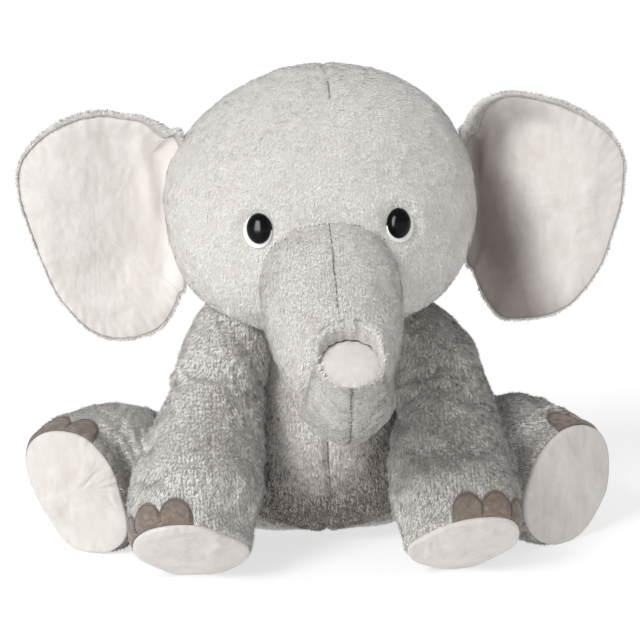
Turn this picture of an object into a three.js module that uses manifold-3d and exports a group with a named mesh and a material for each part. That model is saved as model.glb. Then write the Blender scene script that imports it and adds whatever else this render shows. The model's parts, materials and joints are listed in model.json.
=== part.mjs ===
// A seated stuffed elephant, in millimetres. +Z is up, the elephant faces -Y and sits on z = 0.
// "left" and "right" are the elephant's own, so its left side is +X.
// Every plush part is a sewn cover, open where it is joined, over a loose-fibre stuffing core.
import * as THREE from 'three';
import { mergeVertices } from 'three/addons/utils/BufferGeometryUtils.js';
import Module from 'manifold-3d';

const wasm = await Module();
wasm.setup();

// ---------------------------------------------------------------- driving dimensions
const COVER = 3; // thickness of plush and its backing
const GAP = 0.3; // room between pieces that touch
const SWING_GAP = 2.5; // room around a ball that turns in its socket

const TORSO_SEAT_RADIUS = 88;
const NECK = { centre: [0, 0, 205], radius: 86 };

const HEAD = { centre: [0, -45, 357], radii: [157, 130, 136] };

const EYE = { across: 67, height: -2, halfWidth: 12.4, halfHeight: 14.8, dome: 8.5, stem: 2.5 };

const TRUNK_ROOT = { centre: [0, -145, 304], radius: 64 };
const TRUNK_BEND = { radius: 52, centre: [0, -250, 261], from: 40, to: 140 };
const TRUNK_BEND_RADIUS = 40; // radius of the trunk itself, at the bottom of its bend
const TRUNK_TIP_LENGTH = 50; // from the end of the bend to the tip
const TRUNK_TIP_RADIUS = 31;
const TRUNK_LEAN = 9; // the tip hangs this far to the elephant's left

const EAR = { hinge: 168, y: -45, thickness: 12, rim: 8, lining: 2.5 };

const SOLE = 3; // thickness of a foot's sole disc
const FORELEG = {
  radii: [45, 47, 52, 58.5, 63.5, 64, 60.5, 55],
  pitch: 50,
  nails: [8, 41, 74],
  cutBack: 70,
};
const HINDLEG = {
  radii: [54, 57, 60, 62, 63, 62.5, 61, 58],
  pitch: 0,
  nails: [-8, 20, 48],
  cutBack: 70,
};
const FEET = {
  left_foreleg: { kind: FORELEG, side: 1, root: [112, -76, 186], foot: [123, -184], outward: 4 },
  right_foreleg: { kind: FORELEG, side: -1, root: [-104, -76, 186], foot: [-142, -168], outward: 4 },
  left_hindleg: { kind: HINDLEG, side: 1, root: [137, 8, 64], foot: [245, -84], outward: 42 },
  right_hindleg: { kind: HINDLEG, side: -1, root: [-137, 8, 64], foot: [-252, -48], outward: 24 },
};
const LIMB_SLICES = 12;
const LIMB_RINGS = 6;
const BALL_RINGS = 3; // rings that round off a limb's root
const ROUND = 20; // sides of the head and the torso
const FLOOR_ROOM = 0.4; // the feet hang this far clear of the floor under the seat

// Swing of each joint, in degrees from rest: the room that a joint's socket leaves.
const RAISE = { foreleg: [0, 35], hindleg: [0, 25], trunk: [-6, 30], tip: [-15, 20] };

const TAIL = { root: [0, 128, 80], end: [0, 150, 34], radius: 7, tuftRadius: 12, tuftLength: 27 };

// ---------------------------------------------------------------- materials
function material(color, roughness) {
  return new THREE.MeshStandardMaterial({ color, roughness, metalness: 0 });
}
const LOOKS = {
  plush: () => material(0xbab6b2, 0.95),
  velour: () => material(0xe0dad5, 0.9),
  suede: () => material(0x7a6a5e, 0.85),
  felt: () => material(0xebebe8, 0.95),
  eye: () => material(0x0a0a0b, 0.08),
  washer: () => material(0xd8d8d4, 0.5),
  stuffing: () => material(0xf4f4f2, 1),
};

// ---------------------------------------------------------------- helpers
const vec = (p) => new THREE.Vector3(...p);
const degrees = THREE.MathUtils.degToRad;

// A closed three.js geometry as a solid, turned to face out.
function solid(geometry) {
  const bare = geometry.clone();
  bare.deleteAttribute('normal');
  bare.deleteAttribute('uv');
  const merged = mergeVertices(bare, 1e-3);
  const position = merged.getAttribute('position');
  const index = merged.index.array;
  const corners = [];
  let volume = 0;
  for (let i = 0; i < index.length; i += 3) {
    const [a, b, c] = index.slice(i, i + 3);
    if (a === b || b === c || c === a) continue;
    corners.push(a, b, c);
    const [p, q, r] = [a, b, c].map((n) => new THREE.Vector3().fromBufferAttribute(position, n));
    volume += p.dot(q.cross(r));
  }
  if (volume < 0) corners.reverse();
  const vertProperties = new Float32Array(position.array);
  return new wasm.Manifold(new wasm.Mesh({
    numProp: 3,
    vertProperties,
    triVerts: new Uint32Array(corners),
  }));
}

function minus(body, ...cutters) {
  return cutters.reduce((left, cutter) => left.subtract(cutter), body);
}

function geometryOf(body) {
  const mesh = body.getMesh();
  const geometry = new THREE.BufferGeometry();
  geometry.setAttribute('position', new THREE.BufferAttribute(mesh.vertProperties, 3));
  geometry.setIndex(new THREE.BufferAttribute(mesh.triVerts, 1));
  geometry.computeVertexNormals();
  return geometry;
}

const elephant = new THREE.Group();
function piece(name, look, body) {
  const mesh = new THREE.Mesh(geometryOf(body), LOOKS[look]());
  mesh.name = name;
  elephant.add(mesh);
  return mesh;
}

function ball(centre, radius, slices = ROUND, stacks = 12) {
  const geometry = new THREE.SphereGeometry(radius, slices, stacks);
  geometry.rotateX(Math.PI / 2);
  geometry.translate(...centre);
  return solid(geometry);
}

// A turned solid whose profile [radius, height] stands on +Z, then is laid along a direction.
function turned(profile, slices, from = [0, 0, 0], direction = [0, 0, 1], squash = 1) {
  const geometry = new THREE.LatheGeometry(profile.map((p) => new THREE.Vector2(...p)), slices);
  geometry.rotateX(Math.PI / 2);
  geometry.scale(squash, 1, 1);
  geometry.applyQuaternion(aim(vec(direction)));
  geometry.translate(...from);
  return solid(geometry);
}

// The turn that takes +Z to a direction and keeps +X level.
function aim(direction) {
  const z = direction.clone().normalize();
  const level = Math.abs(z.z) > 0.999 ? new THREE.Vector3(1, 0, 0) : new THREE.Vector3(-z.y, z.x, 0);
  const x = level.normalize();
  const y = new THREE.Vector3().crossVectors(z, x);
  return new THREE.Quaternion().setFromRotationMatrix(new THREE.Matrix4().makeBasis(x, y, z));
}

// A round limb along a curve: a ball at the start, rings of the given radii, a flat end.
// shrink takes the surface in, to make the stuffing or the inside of the cover.
function limb(curve, radii, shrink, endCut) {
  const radiusAt = new THREE.SplineCurve(radii.map((r, i) => new THREE.Vector2(i, r)));
  const rings = [];
  const start = curve.getPoint(0);
  const firstTangent = curve.getTangent(0);
  for (let i = 1; i <= BALL_RINGS; i += 1) {
    const angle = (Math.PI / 2) * (1 - i / (BALL_RINGS + 1));
    const r = radii[0] - shrink;
    const centre = start.clone().addScaledVector(firstTangent, -r * Math.sin(angle));
    rings.push({ centre, tangent: firstTangent, radius: r * Math.cos(angle) });
  }
  for (let i = 0; i <= LIMB_RINGS; i += 1) {
    const t = i / LIMB_RINGS;
    const tangent = curve.getTangent(t);
    const radius = radiusAt.getPoint(t).y - shrink;
    rings.push({ centre: curve.getPoint(t), tangent, radius });
  }
  const last = rings[rings.length - 1];
  last.centre.addScaledVector(last.tangent, -endCut);
  const points = [start.clone().addScaledVector(firstTangent, -(radii[0] - shrink))];
  for (const ring of rings) {
    const turn = aim(ring.tangent);
    for (let k = 0; k < LIMB_SLICES; k += 1) {
      const angle = (2 * Math.PI * k) / LIMB_SLICES;
      const spoke = new THREE.Vector3(Math.cos(angle), Math.sin(angle), 0).applyQuaternion(turn);
      points.push(ring.centre.clone().addScaledVector(spoke, ring.radius));
    }
  }
  points.push(last.centre.clone());
  const faces = [];
  const at = (ring, k) => 1 + ring * LIMB_SLICES + (k % LIMB_SLICES);
  for (let k = 0; k < LIMB_SLICES; k += 1) {
    faces.push(0, at(0, k + 1), at(0, k));
    for (let ring = 0; ring + 1 < rings.length; ring += 1) {
      faces.push(at(ring, k), at(ring, k + 1), at(ring + 1, k + 1));
      faces.push(at(ring, k), at(ring + 1, k + 1), at(ring + 1, k));
    }
    faces.push(points.length - 1, at(rings.length - 1, k), at(rings.length - 1, k + 1));
  }
  const geometry = new THREE.BufferGeometry().setFromPoints(points);
  geometry.setIndex(faces);
  return solid(geometry);
}

// The opening in a limb's cover where it is sewn on, at the back of the ball.
function seamOpening(root, tangent, radius) {
  const wide = radius * 0.72;
  const deep = radius + 5;
  const profile = [[0, 0], [wide, 0], [wide, deep], [0, deep]];
  return turned(profile, LIMB_SLICES, root, tangent.clone().negate().toArray());
}

// The room that a round limb sweeps near its root: a flared bar at each angle of its swing.
function swingRoom(root, direction, axis, angles, radius, flare, length) {
  const profile = [[0, -radius]];
  for (let i = 1; i < 4; i += 1) {
    const angle = (Math.PI / 2) * (i / 4);
    profile.push([radius * Math.sin(angle), -radius * Math.cos(angle)]);
  }
  profile.push([radius, 0], [flare, length], [0, length]);
  return angles.map((angle) => {
    const turnedTo = vec(direction).applyAxisAngle(vec(axis).normalize(), degrees(angle));
    return turned(profile, LIMB_SLICES, root, turnedTo.toArray());
  });
}

// ---------------------------------------------------------------- legs
function legPlan({ kind, side, root, foot, outward }) {
  const turn = degrees(outward) * side;
  const pitch = degrees(kind.pitch);
  const facing = new THREE.Vector3(
    Math.sin(turn) * Math.cos(pitch),
    -Math.cos(turn) * Math.cos(pitch),
    -Math.sin(pitch),
  );
  const rim = kind.radii[kind.radii.length - 1];
  const widest = Math.max(...kind.radii);
  const height = (kind.pitch ? rim * Math.cos(pitch) : widest) + FLOOR_ROOM;
  const sole = new THREE.Vector3(foot[0], foot[1], height);
  const knee = sole.clone().addScaledVector(facing, -kind.cutBack);
  const curve = new THREE.QuadraticBezierCurve3(vec(root), knee, sole);
  const reach = sole.clone().sub(vec(root));
  const level = new THREE.Vector3(reach.x, reach.y, 0).normalize();
  const axis = kind === FORELEG ? [-1, 0, 0] : [level.y, -level.x, 0];
  return { kind, side, root, curve, sole, facing, rim, axis };
}

function legRoom(plan, grow) {
  const start = plan.curve.getTangent(0).toArray();
  const angles = plan.kind === FORELEG ? RAISE.foreleg : RAISE.hindleg;
  const [first, , , , widest] = plan.kind.radii;
  return swingRoom(plan.root, start, plan.axis, angles, first + grow, widest + grow + 4, 130);
}

// A toenail: a half-round pad that lies on the foot beside the sole's edge.
function toenail(plan, angle) {
  const outline = new THREE.Shape();
  const half = 13.5;
  const rise = 24;
  outline.moveTo(-half, 0);
  outline.lineTo(half, 0);
  outline.bezierCurveTo(half + 1.5, rise * 0.75, half * 0.6, rise, 0, rise);
  outline.bezierCurveTo(-half * 0.6, rise, -half - 1.5, rise * 0.75, -half, 0);
  const geometry = new THREE.ExtrudeGeometry(outline, {
    depth: 1.4,
    curveSegments: 4,
    bevelSize: 1.2,
    bevelOffset: -1.2,
    bevelThickness: 1.2,
    bevelSegments: 1,
  });
  const turn = aim(plan.facing.clone().negate());
  const around = Math.PI / 2 + degrees(angle) * -plan.side * levelSign(turn);
  const spoke = new THREE.Vector3(Math.cos(around), Math.sin(around), 0).applyQuaternion(turn);
  const back = plan.facing.clone().negate();
  const across = new THREE.Vector3().crossVectors(back, spoke);
  const rise3 = back.clone().addScaledVector(spoke, 0.24).normalize();
  const out = new THREE.Vector3().crossVectors(across, rise3).normalize();
  geometry.applyMatrix4(new THREE.Matrix4().makeBasis(across, rise3, out));
  const place = plan.sole.clone().addScaledVector(back, 4).addScaledVector(spoke, plan.rim + 4.2);
  geometry.translate(place.x, place.y, place.z);
  return solid(geometry);
}

// +1 where the level axis of a turn runs towards +X, so that a side keeps its own direction.
function levelSign(turn) {
  return Math.sign(new THREE.Vector3(1, 0, 0).applyQuaternion(turn).x) || 1;
}

function makeLeg(name, plan) {
  const { curve, kind, sole, facing, rim, root } = plan;
  const outer = limb(curve, kind.radii, 0, 0);
  const inner = limb(curve, kind.radii, COVER, -SOLE);
  const seam = seamOpening(root, curve.getTangent(0), kind.radii[0]);
  piece(`${name}_cover`, 'plush', minus(outer, inner, seam));
  const core = limb(curve, kind.radii, COVER + GAP, SOLE + GAP);
  piece(`${name}_stuffing`, 'stuffing', core);
  const disc = rim - COVER - GAP;
  const back = sole.clone().addScaledVector(facing, -SOLE);
  piece(
    `${name}_sole`,
    'velour',
    turned([[0, 0], [disc, 0], [disc, SOLE], [0, SOLE]], LIMB_SLICES, back.toArray(), facing.toArray()),
  );
  kind.nails.forEach((angle, i) => {
    piece(`${name}_toenail_${i + 1}`, 'suede', minus(toenail(plan, angle), limb(curve, kind.radii, -GAP, 0)));
  });
}

// ---------------------------------------------------------------- torso
function torsoProfile(shrink) {
  const shape = new THREE.SplineCurve([
    [TORSO_SEAT_RADIUS, 0],
    [107, 16],
    [115, 50],
    [116, 85],
    [112, 120],
    [102, 155],
    [90, 185],
    [NECK.radius, NECK.centre[2]],
  ].map((p) => new THREE.Vector2(...p)));
  const rows = shape.getPoints(8).map((p, i) => [p.x - shrink, i === 0 ? shrink : Math.max(p.y, shrink)]);
  return [[0, shrink], ...rows];
}

// Rows of the neck ball, from its widest circle up to an angle above it.
function neckRows(radius, until) {
  const rows = [];
  const step = 16;
  for (let angle = step; angle < until + step; angle += step) {
    const turn = degrees(Math.min(angle, until));
    rows.push([radius * Math.cos(turn), NECK.centre[2] + radius * Math.sin(turn)]);
  }
  return rows;
}

function makeTorso(rooms) {
  const open = 48; // the cover stops this many degrees up the neck ball
  const outer = [...torsoProfile(0), ...neckRows(NECK.radius, open)];
  const inner = [...torsoProfile(COVER), ...neckRows(NECK.radius - COVER, open)];
  const shell = turned([...outer, ...inner.reverse()], ROUND);
  piece('torso_cover', 'plush', minus(shell, ...rooms(SWING_GAP)));
  const fill = turned([...torsoProfile(COVER + GAP), ...neckRows(NECK.radius - COVER - GAP, 90)], ROUND);
  piece('torso_stuffing', 'stuffing', minus(fill, ...rooms(SWING_GAP + COVER)));
}

// ---------------------------------------------------------------- trunk
function trunkCurves() {
  const { radius, centre, from, to } = TRUNK_BEND;
  const onBend = (angle) => {
    const lean = (TRUNK_LEAN * (angle - from)) / (to - from);
    return new THREE.Vector3(
      lean,
      centre[1] + radius * Math.cos(degrees(angle)),
      centre[2] - radius * Math.sin(degrees(angle)),
    );
  };
  const middle = (from + to) / 2;
  const bend = [from, from + 25, middle].map(onBend);
  const rise = [middle, middle + 25, to].map(onBend);
  const away = new THREE.Vector3(0, -Math.sin(degrees(to)), -Math.cos(degrees(to)));
  const tip = rise[2].clone().addScaledVector(away, TRUNK_TIP_LENGTH);
  const root = vec(TRUNK_ROOT.centre);
  const halfway = root.clone().lerp(bend[0], 0.5);
  return {
    upper: new THREE.CatmullRomCurve3([root, halfway, ...bend]),
    lower: new THREE.CatmullRomCurve3([...rise, rise[2].clone().lerp(tip, 0.5), tip]),
    knuckle: bend[2].toArray(),
    tip,
  };
}

function makeTrunk() {
  const { upper, lower, knuckle, tip } = trunkCurves();
  const lift = [-1, 0, 0];
  const upperRadii = [TRUNK_ROOT.radius, 63, 60, 55, 48.5, 43, TRUNK_BEND_RADIUS];
  const lowerRadii = [TRUNK_BEND_RADIUS, 38.5, 36.5, 34, 32, TRUNK_TIP_RADIUS];
  const knuckleRoom = (grow) => swingRoom(
    knuckle,
    lower.getTangent(0).toArray(),
    lift,
    RAISE.tip,
    TRUNK_BEND_RADIUS + grow,
    TRUNK_BEND_RADIUS + grow + 6,
    90,
  );
  const rootSeam = seamOpening(TRUNK_ROOT.centre, upper.getTangent(0), TRUNK_ROOT.radius);
  const upperShell = minus(limb(upper, upperRadii, 0, 0), limb(upper, upperRadii, COVER, -2), rootSeam);
  piece('trunk_cover', 'plush', minus(upperShell, ...knuckleRoom(SWING_GAP)));
  const upperFill = limb(upper, upperRadii, COVER + GAP, 1);
  piece('trunk_stuffing', 'stuffing', minus(upperFill, ...knuckleRoom(SWING_GAP + COVER)));

  const tipFacing = lower.getTangent(1);
  const tipSeam = seamOpening(knuckle, lower.getTangent(0), TRUNK_BEND_RADIUS);
  const lowerOuter = limb(lower, lowerRadii, 0, 0);
  const lowerInner = limb(lower, lowerRadii, COVER, -SOLE);
  piece('trunk_tip_cover', 'plush', minus(lowerOuter, lowerInner, tipSeam));
  piece('trunk_tip_stuffing', 'stuffing', limb(lower, lowerRadii, COVER + GAP, SOLE + GAP));
  const disc = TRUNK_TIP_RADIUS - COVER - GAP;
  const back = tip.clone().addScaledVector(tipFacing, -SOLE);
  piece(
    'trunk_tip_disc',
    'velour',
    turned([[0, 0], [disc, 0], [disc, SOLE], [0, SOLE]], LIMB_SLICES, back.toArray(), tipFacing.toArray()),
  );
  return (grow) => swingRoom(
    TRUNK_ROOT.centre,
    upper.getTangent(0).toArray(),
    lift,
    RAISE.trunk,
    TRUNK_ROOT.radius + grow,
    TRUNK_ROOT.radius + grow,
    150,
  );
}

// ---------------------------------------------------------------- head and eyes
function headBall(shrink) {
  const geometry = new THREE.SphereGeometry(1, ROUND, 12);
  geometry.rotateX(Math.PI / 2);
  geometry.scale(...HEAD.radii.map((r) => r - shrink));
  geometry.translate(...HEAD.centre);
  return solid(geometry);
}

// Where an eye sits on the head, and the way it faces.
function eyeSeat(side) {
  const [a, b, c] = HEAD.radii;
  const x = side * EYE.across;
  const z = EYE.height;
  const y = -b * Math.sqrt(1 - (x / a) ** 2 - (z / c) ** 2);
  const point = new THREE.Vector3(x, y, z).add(vec(HEAD.centre));
  const facing = new THREE.Vector3(x / a ** 2, y / b ** 2, z / c ** 2).normalize();
  return { point, facing };
}

function makeEye(side, name) {
  const { point, facing } = eyeSeat(side);
  const squash = EYE.halfWidth / EYE.halfHeight;
  const eyePart = (profile, wide = 1) => turned(profile, LIMB_SLICES, point.toArray(), facing.toArray(), wide);
  const rim = EYE.halfHeight;
  const seat = 2.6; // the dome's back stands this far off the plush
  const dome = [[0, seat]];
  for (let i = 0; i <= 4; i += 1) {
    const angle = (Math.PI / 2) * (i / 4);
    dome.push([rim * Math.cos(angle), seat + 1.2 + EYE.dome * Math.sin(angle)]);
  }
  dome.splice(1, 0, [rim - 0.6, seat]);
  const stem = [[0, -13], [EYE.stem, -12], [EYE.stem, seat + 1], [0, seat + 1]];
  piece(`${name}_eye`, 'eye', eyePart(dome, squash).add(eyePart(stem)));
  const hole = EYE.stem + GAP;
  const felt = [[hole, 0.9], [rim + 2, 0.9], [rim + 2, seat - GAP], [hole, seat - GAP], [hole, 0.9]];
  piece(`${name}_eye_felt`, 'felt', eyePart(felt));
  const washer = [[hole, -8], [7.5, -8], [7.5, -6], [hole, -6], [hole, -8]];
  piece(`${name}_eye_washer`, 'washer', eyePart(washer));
  return {
    hole: eyePart([[0, -20], [hole, -20], [hole, 10], [0, 10]]),
    pocket: eyePart([[0, -14.5], [8.5, -14.5], [8.5, 10], [0, 10]]),
  };
}

function makeHead(trunkRoom) {
  const eyes = [makeEye(1, 'left'), makeEye(-1, 'right')];
  const neckRoom = (grow) => ball(NECK.centre, NECK.radius + grow);
  const shell = minus(headBall(0), headBall(COVER), neckRoom(SWING_GAP), ...trunkRoom(SWING_GAP));
  piece('head_cover', 'plush', minus(shell, ...eyes.map((eye) => eye.hole)));
  const fill = minus(
    headBall(COVER + GAP),
    neckRoom(SWING_GAP + COVER),
    ...trunkRoom(SWING_GAP + COVER),
    ...eyes.map((eye) => eye.pocket),
  );
  piece('head_stuffing', 'stuffing', fill);
}

// ---------------------------------------------------------------- ears
// The ear's outline, out from its hinge line and up from the head's middle.
function earOutline(inset) {
  const shape = new THREE.Shape();
  const upright = 52;
  shape.moveTo(-6 + inset, upright - inset);
  shape.bezierCurveTo(10 + inset, 84 - inset, 62, 100 - inset, 102 - inset, 76 - inset);
  shape.bezierCurveTo(130 - inset, 60 - inset, 143 - inset, 30, 137 - inset, -6);
  shape.bezierCurveTo(130 - inset, -50, 100 - inset, -112, 70 - inset * 0.7, -133 + inset * 0.7);
  shape.bezierCurveTo(44, -154 + inset, -2 + inset, -150 + inset, -18 + inset, -112);
  shape.bezierCurveTo(-24 + inset, -96, -14 + inset, -76, -6 + inset, -60);
  shape.lineTo(-6 + inset, upright - inset);
  return shape;
}

function earPlate(inset, front, back, side) {
  const geometry = new THREE.ExtrudeGeometry(earOutline(inset), {
    depth: back - front,
    bevelEnabled: false,
    curveSegments: 7,
  });
  geometry.rotateX(Math.PI / 2);
  geometry.translate(0, back, 0);
  geometry.scale(side, 1, 1);
  geometry.translate(side * EAR.hinge, EAR.y, HEAD.centre[2]);
  return solid(geometry);
}

function makeEar(side, name) {
  const half = EAR.thickness / 2;
  const tray = earPlate(0, -half, half, side);
  const pocket = earPlate(EAR.rim, -half - 1, half - COVER, side);
  piece(`${name}_ear_back`, 'plush', minus(tray, pocket));
  const liningBack = -half + EAR.lining;
  piece(`${name}_ear_lining`, 'velour', earPlate(EAR.rim + GAP, -half, liningBack, side));
  piece(
    `${name}_ear_wadding`,
    'stuffing',
    earPlate(EAR.rim + 1, liningBack + GAP, half - COVER - GAP, side),
  );
}

// ---------------------------------------------------------------- tail
function makeTail() {
  const along = vec(TAIL.end).sub(vec(TAIL.root));
  const length = along.length();
  const stalk = [[0, -TAIL.radius], [TAIL.radius * 0.8, -TAIL.radius * 0.6], [TAIL.radius, 0],
    [TAIL.radius * 0.85, length], [0, length]];
  piece('tail_cord', 'plush', turned(stalk, 12, TAIL.root, along.toArray()));
  const tuft = [[0, length + GAP], [TAIL.radius, length + GAP], [TAIL.tuftRadius, length + 12],
    [TAIL.radius, length + 22], [0, length + TAIL.tuftLength]];
  piece('tail_tuft', 'plush', turned(tuft, 12, TAIL.root, along.toArray()));
}

// ---------------------------------------------------------------- the whole elephant
const plans = Object.entries(FEET).map(([name, foot]) => [name, legPlan(foot)]);
makeTorso((grow) => plans.flatMap(([, plan]) => legRoom(plan, grow)));
makeHead(makeTrunk());
makeEar(1, 'left');
makeEar(-1, 'right');
plans.forEach(([name, plan]) => makeLeg(name, plan));
makeTail();

export default elephant;
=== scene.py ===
"""A seated stuffed elephant: sewn plush skins with a real pile, velour linings and soles.

Shapes are worked out in millimetres, in the CAD frame, and become metres when a mesh is made.
+Z is up, the elephant faces -Y, and "left" is its own left, +X.
"""

import json
import math

import bpy
import numpy as np
from mathutils import Matrix, Vector


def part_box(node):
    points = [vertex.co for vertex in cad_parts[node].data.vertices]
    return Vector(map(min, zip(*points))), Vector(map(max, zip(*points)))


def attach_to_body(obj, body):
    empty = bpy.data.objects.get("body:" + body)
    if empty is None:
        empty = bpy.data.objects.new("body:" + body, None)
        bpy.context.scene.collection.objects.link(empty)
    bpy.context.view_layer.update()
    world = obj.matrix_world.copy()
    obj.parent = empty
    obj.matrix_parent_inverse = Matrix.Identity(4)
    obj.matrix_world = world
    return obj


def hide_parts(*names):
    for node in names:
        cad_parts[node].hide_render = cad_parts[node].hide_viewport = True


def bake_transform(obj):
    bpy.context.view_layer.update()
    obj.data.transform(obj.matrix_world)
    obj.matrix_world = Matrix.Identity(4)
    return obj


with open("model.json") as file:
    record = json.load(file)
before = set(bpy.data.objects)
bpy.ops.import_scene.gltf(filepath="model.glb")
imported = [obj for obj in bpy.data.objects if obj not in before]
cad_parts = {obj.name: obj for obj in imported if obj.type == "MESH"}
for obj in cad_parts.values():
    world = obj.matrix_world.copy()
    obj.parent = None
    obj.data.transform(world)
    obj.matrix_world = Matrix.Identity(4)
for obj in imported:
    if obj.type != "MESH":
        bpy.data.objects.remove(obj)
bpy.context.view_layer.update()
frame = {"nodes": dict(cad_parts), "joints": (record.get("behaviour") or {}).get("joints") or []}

MM = 0.001
FLOOR_CLEAR = 0.3  # nothing sewn reaches lower than this
JOINTS = {j["name"]: j for j in frame["joints"]}
SIGN = {"left": 1, "right": -1}  # which way a side lies along X
X_AXIS, Y_AXIS, Z_AXIS = np.eye(3)


def pivot(joint):
    """A joint's centre, in millimetres."""
    return np.array(JOINTS[joint]["pos_m"]) * 1000


# ---------------------------------------------------------------- sizes
HEAD_CENTRE = np.array([0.0, -45.0, 357.0])
HEAD_RADII = np.array([154.5, 127.0, 133.0])
HEAD_FULL_BELOW = 2.35  # how square the cheeks are
HEAD_FULL_ABOVE = 1.94  # how square the crown is
HEAD_REACH = 0.93  # no pile deeper inside the head than this

NECK_LINE = (226, 240)  # the pile starts between these heights
BROW_PARTING = 1.7
DART_TILTS = (0.32, 0.56)  # where the crown's dart starts and ends, in radians from upright

EYE_ACROSS = 67.0
EYE_HEIGHT = 355.0
EYE_HALF = (12.4, 15.0)  # half an eye's width and height
EYE_DOME = 9.0  # how far it stands out

TRUNK_ROOT = pivot("trunk_lift")
BEND_CENTRE = np.array([0.0, -250.0, 257.0])  # the trunk curls round this point
BEND_RADIUS = 52.0
BEND_FROM, BEND_TO = 40.0, 144.0  # degrees round it
TRUNK_TIP_LENGTH = 54.0  # how far the trunk runs on from there
TRUNK_LEAN = (3.5, 4.5)  # how far the bend starts and ends to the left

EAR_ROOT_Y = -45.0
FOOT_HELD = 38  # how far behind its sole a leg's skin is held, by the seam and the nails
SIMULATED_FRAMES = 20
CLOTH_SPARE = -0.035  # the cloth is cut this share larger than the shape it covers
PILE = 3.9  # length of the plush's pile
TUFT = 3.6  # the pile mats into tufts of this size


# ---------------------------------------------------------------- numbers
def ramp(low, high, x):
    """0 below low, 1 above high, and smooth between."""
    t = np.clip((np.asarray(x, float) - low) / (high - low), 0, 1)
    return t * t * (3 - 2 * t)


def unit(v):
    v = np.asarray(v, float)
    return v / np.maximum(np.linalg.norm(v, axis=-1, keepdims=True), 1e-9)


def circle(count):
    """Angles once round, in even steps."""
    return np.linspace(0, 2 * math.pi, count, endpoint=False)


def bump(x, width):
    return np.exp(-((x / width) ** 2))


_table = np.random.default_rng(11)
LATTICE = _table.permutation(4096)
GRADIENTS = unit(_table.normal(size=(4096, 3)))


def lattice(cell, seed):
    """A repeatable random index for each whole-numbered cell."""
    x, y, z = (cell[..., k].astype(np.int64) for k in range(3))
    mixed = LATTICE[(x + 57 * seed) & 4095]
    mixed = LATTICE[(mixed + y) & 4095]
    return LATTICE[(mixed + z) & 4095]


def noise(p, size, seed=0):
    """Smooth noise, about -1 to 1, with features of that size in millimetres."""
    q = np.asarray(p, float) / size
    low = np.floor(q)
    f = q - low
    fade = f * f * f * (f * (f * 6 - 15) + 10)
    total = np.zeros(q.shape[:-1])
    for corner in range(8):
        step = np.array([(corner >> k) & 1 for k in range(3)])
        gradient = GRADIENTS[lattice(low + step, seed)]
        share = np.prod(np.where(step == 1, fade, 1 - fade), axis=-1)
        total += share * np.sum(gradient * (f - step), axis=-1)
    return total * 1.7


def noise_vector(p, size, seed):
    return np.stack([noise(p, size, seed + k) for k in range(3)], axis=-1)


def through(points, count, closed=False):
    """A smooth curve through given points (Catmull-Rom), as count points."""
    pts = np.asarray(points, float)
    if closed:
        padded = np.concatenate([pts[-1:], pts, pts[:2]])
    else:
        padded = np.concatenate([2 * pts[:1] - pts[1:2], pts, 2 * pts[-1:] - pts[-2:-1]])
    spans = len(padded) - 3
    t = np.linspace(0, spans, count, endpoint=not closed)
    i = np.minimum(t.astype(int), spans - 1)
    u = (t - i)[:, None]
    a, b, c, d = (padded[i + k] for k in range(4))
    bend = (2 * a - 5 * b + 4 * c - d) * u**2 + (3 * b - a - 3 * c + d) * u**3
    return 0.5 * (2 * b + (c - a) * u + bend)


def run_along(line):
    """How far each point of a line is from its start."""
    return np.append(0, np.cumsum(np.linalg.norm(np.diff(line, axis=0), axis=1)))


def part_way(s, run, values):
    """The vectors that belong to distances s, from those that belong to each run."""
    return np.stack([np.interp(s, run, values[:, k]) for k in range(3)], axis=-1)


def spokes(wide, high, phi, across, upwards):
    """From an oval's middle to its rim, at angles phi."""
    return (wide * np.cos(phi))[..., None] * across + (high * np.sin(phi))[..., None] * upwards


# ---------------------------------------------------------------- meshes
def placed(name, data):
    """A new object, put in the scene."""
    obj = bpy.data.objects.new(name, data)
    bpy.context.scene.collection.objects.link(obj)
    return obj


def new_object(name, verts, faces, materials, slots=None):
    """A mesh object from millimetre points and arrays of faces."""
    faces = [np.asarray(f) for f in faces if len(f)]
    mesh = bpy.data.meshes.new(name)
    mesh.vertices.add(len(verts))
    mesh.vertices.foreach_set("co", (np.asarray(verts) * MM).astype(np.float32).ravel())
    loops = np.concatenate([f.ravel() for f in faces]).astype(np.int32)
    sizes = np.concatenate([np.full(len(f), f.shape[1]) for f in faces])
    starts = np.concatenate([[0], np.cumsum(sizes)[:-1]]).astype(np.int32)
    mesh.loops.add(len(loops))
    mesh.loops.foreach_set("vertex_index", loops)
    mesh.polygons.add(len(sizes))
    mesh.polygons.foreach_set("loop_start", starts)
    mesh.update(calc_edges=True)
    mesh.polygons.foreach_set("use_smooth", np.ones(len(sizes), bool))
    for material in materials:
        mesh.materials.append(material)
    if slots is not None:
        mesh.polygons.foreach_set("material_index", np.asarray(slots, np.int32))
    return placed(name, mesh)


def grid_faces(rows, cols, closed, offset=0, flip=False):
    """Quads over a grid of points, closed round its columns or not."""
    r = np.arange(rows - 1)[:, None]
    c = np.arange(cols if closed else cols - 1)[None, :]
    a = r * cols + c
    b = r * cols + (c + 1) % cols
    quads = np.stack([a, b, b + cols, a + cols], axis=-1).reshape(-1, 4) + offset
    return quads[:, ::-1] if flip else quads


def cap_faces(ring, centre, flip=False):
    """Triangles from a closed ring of point numbers to a centre point."""
    after = np.roll(ring, -1)
    tris = np.stack([after, ring, np.full(len(ring), centre)], axis=-1)
    return tris[:, ::-1] if flip else tris


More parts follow.
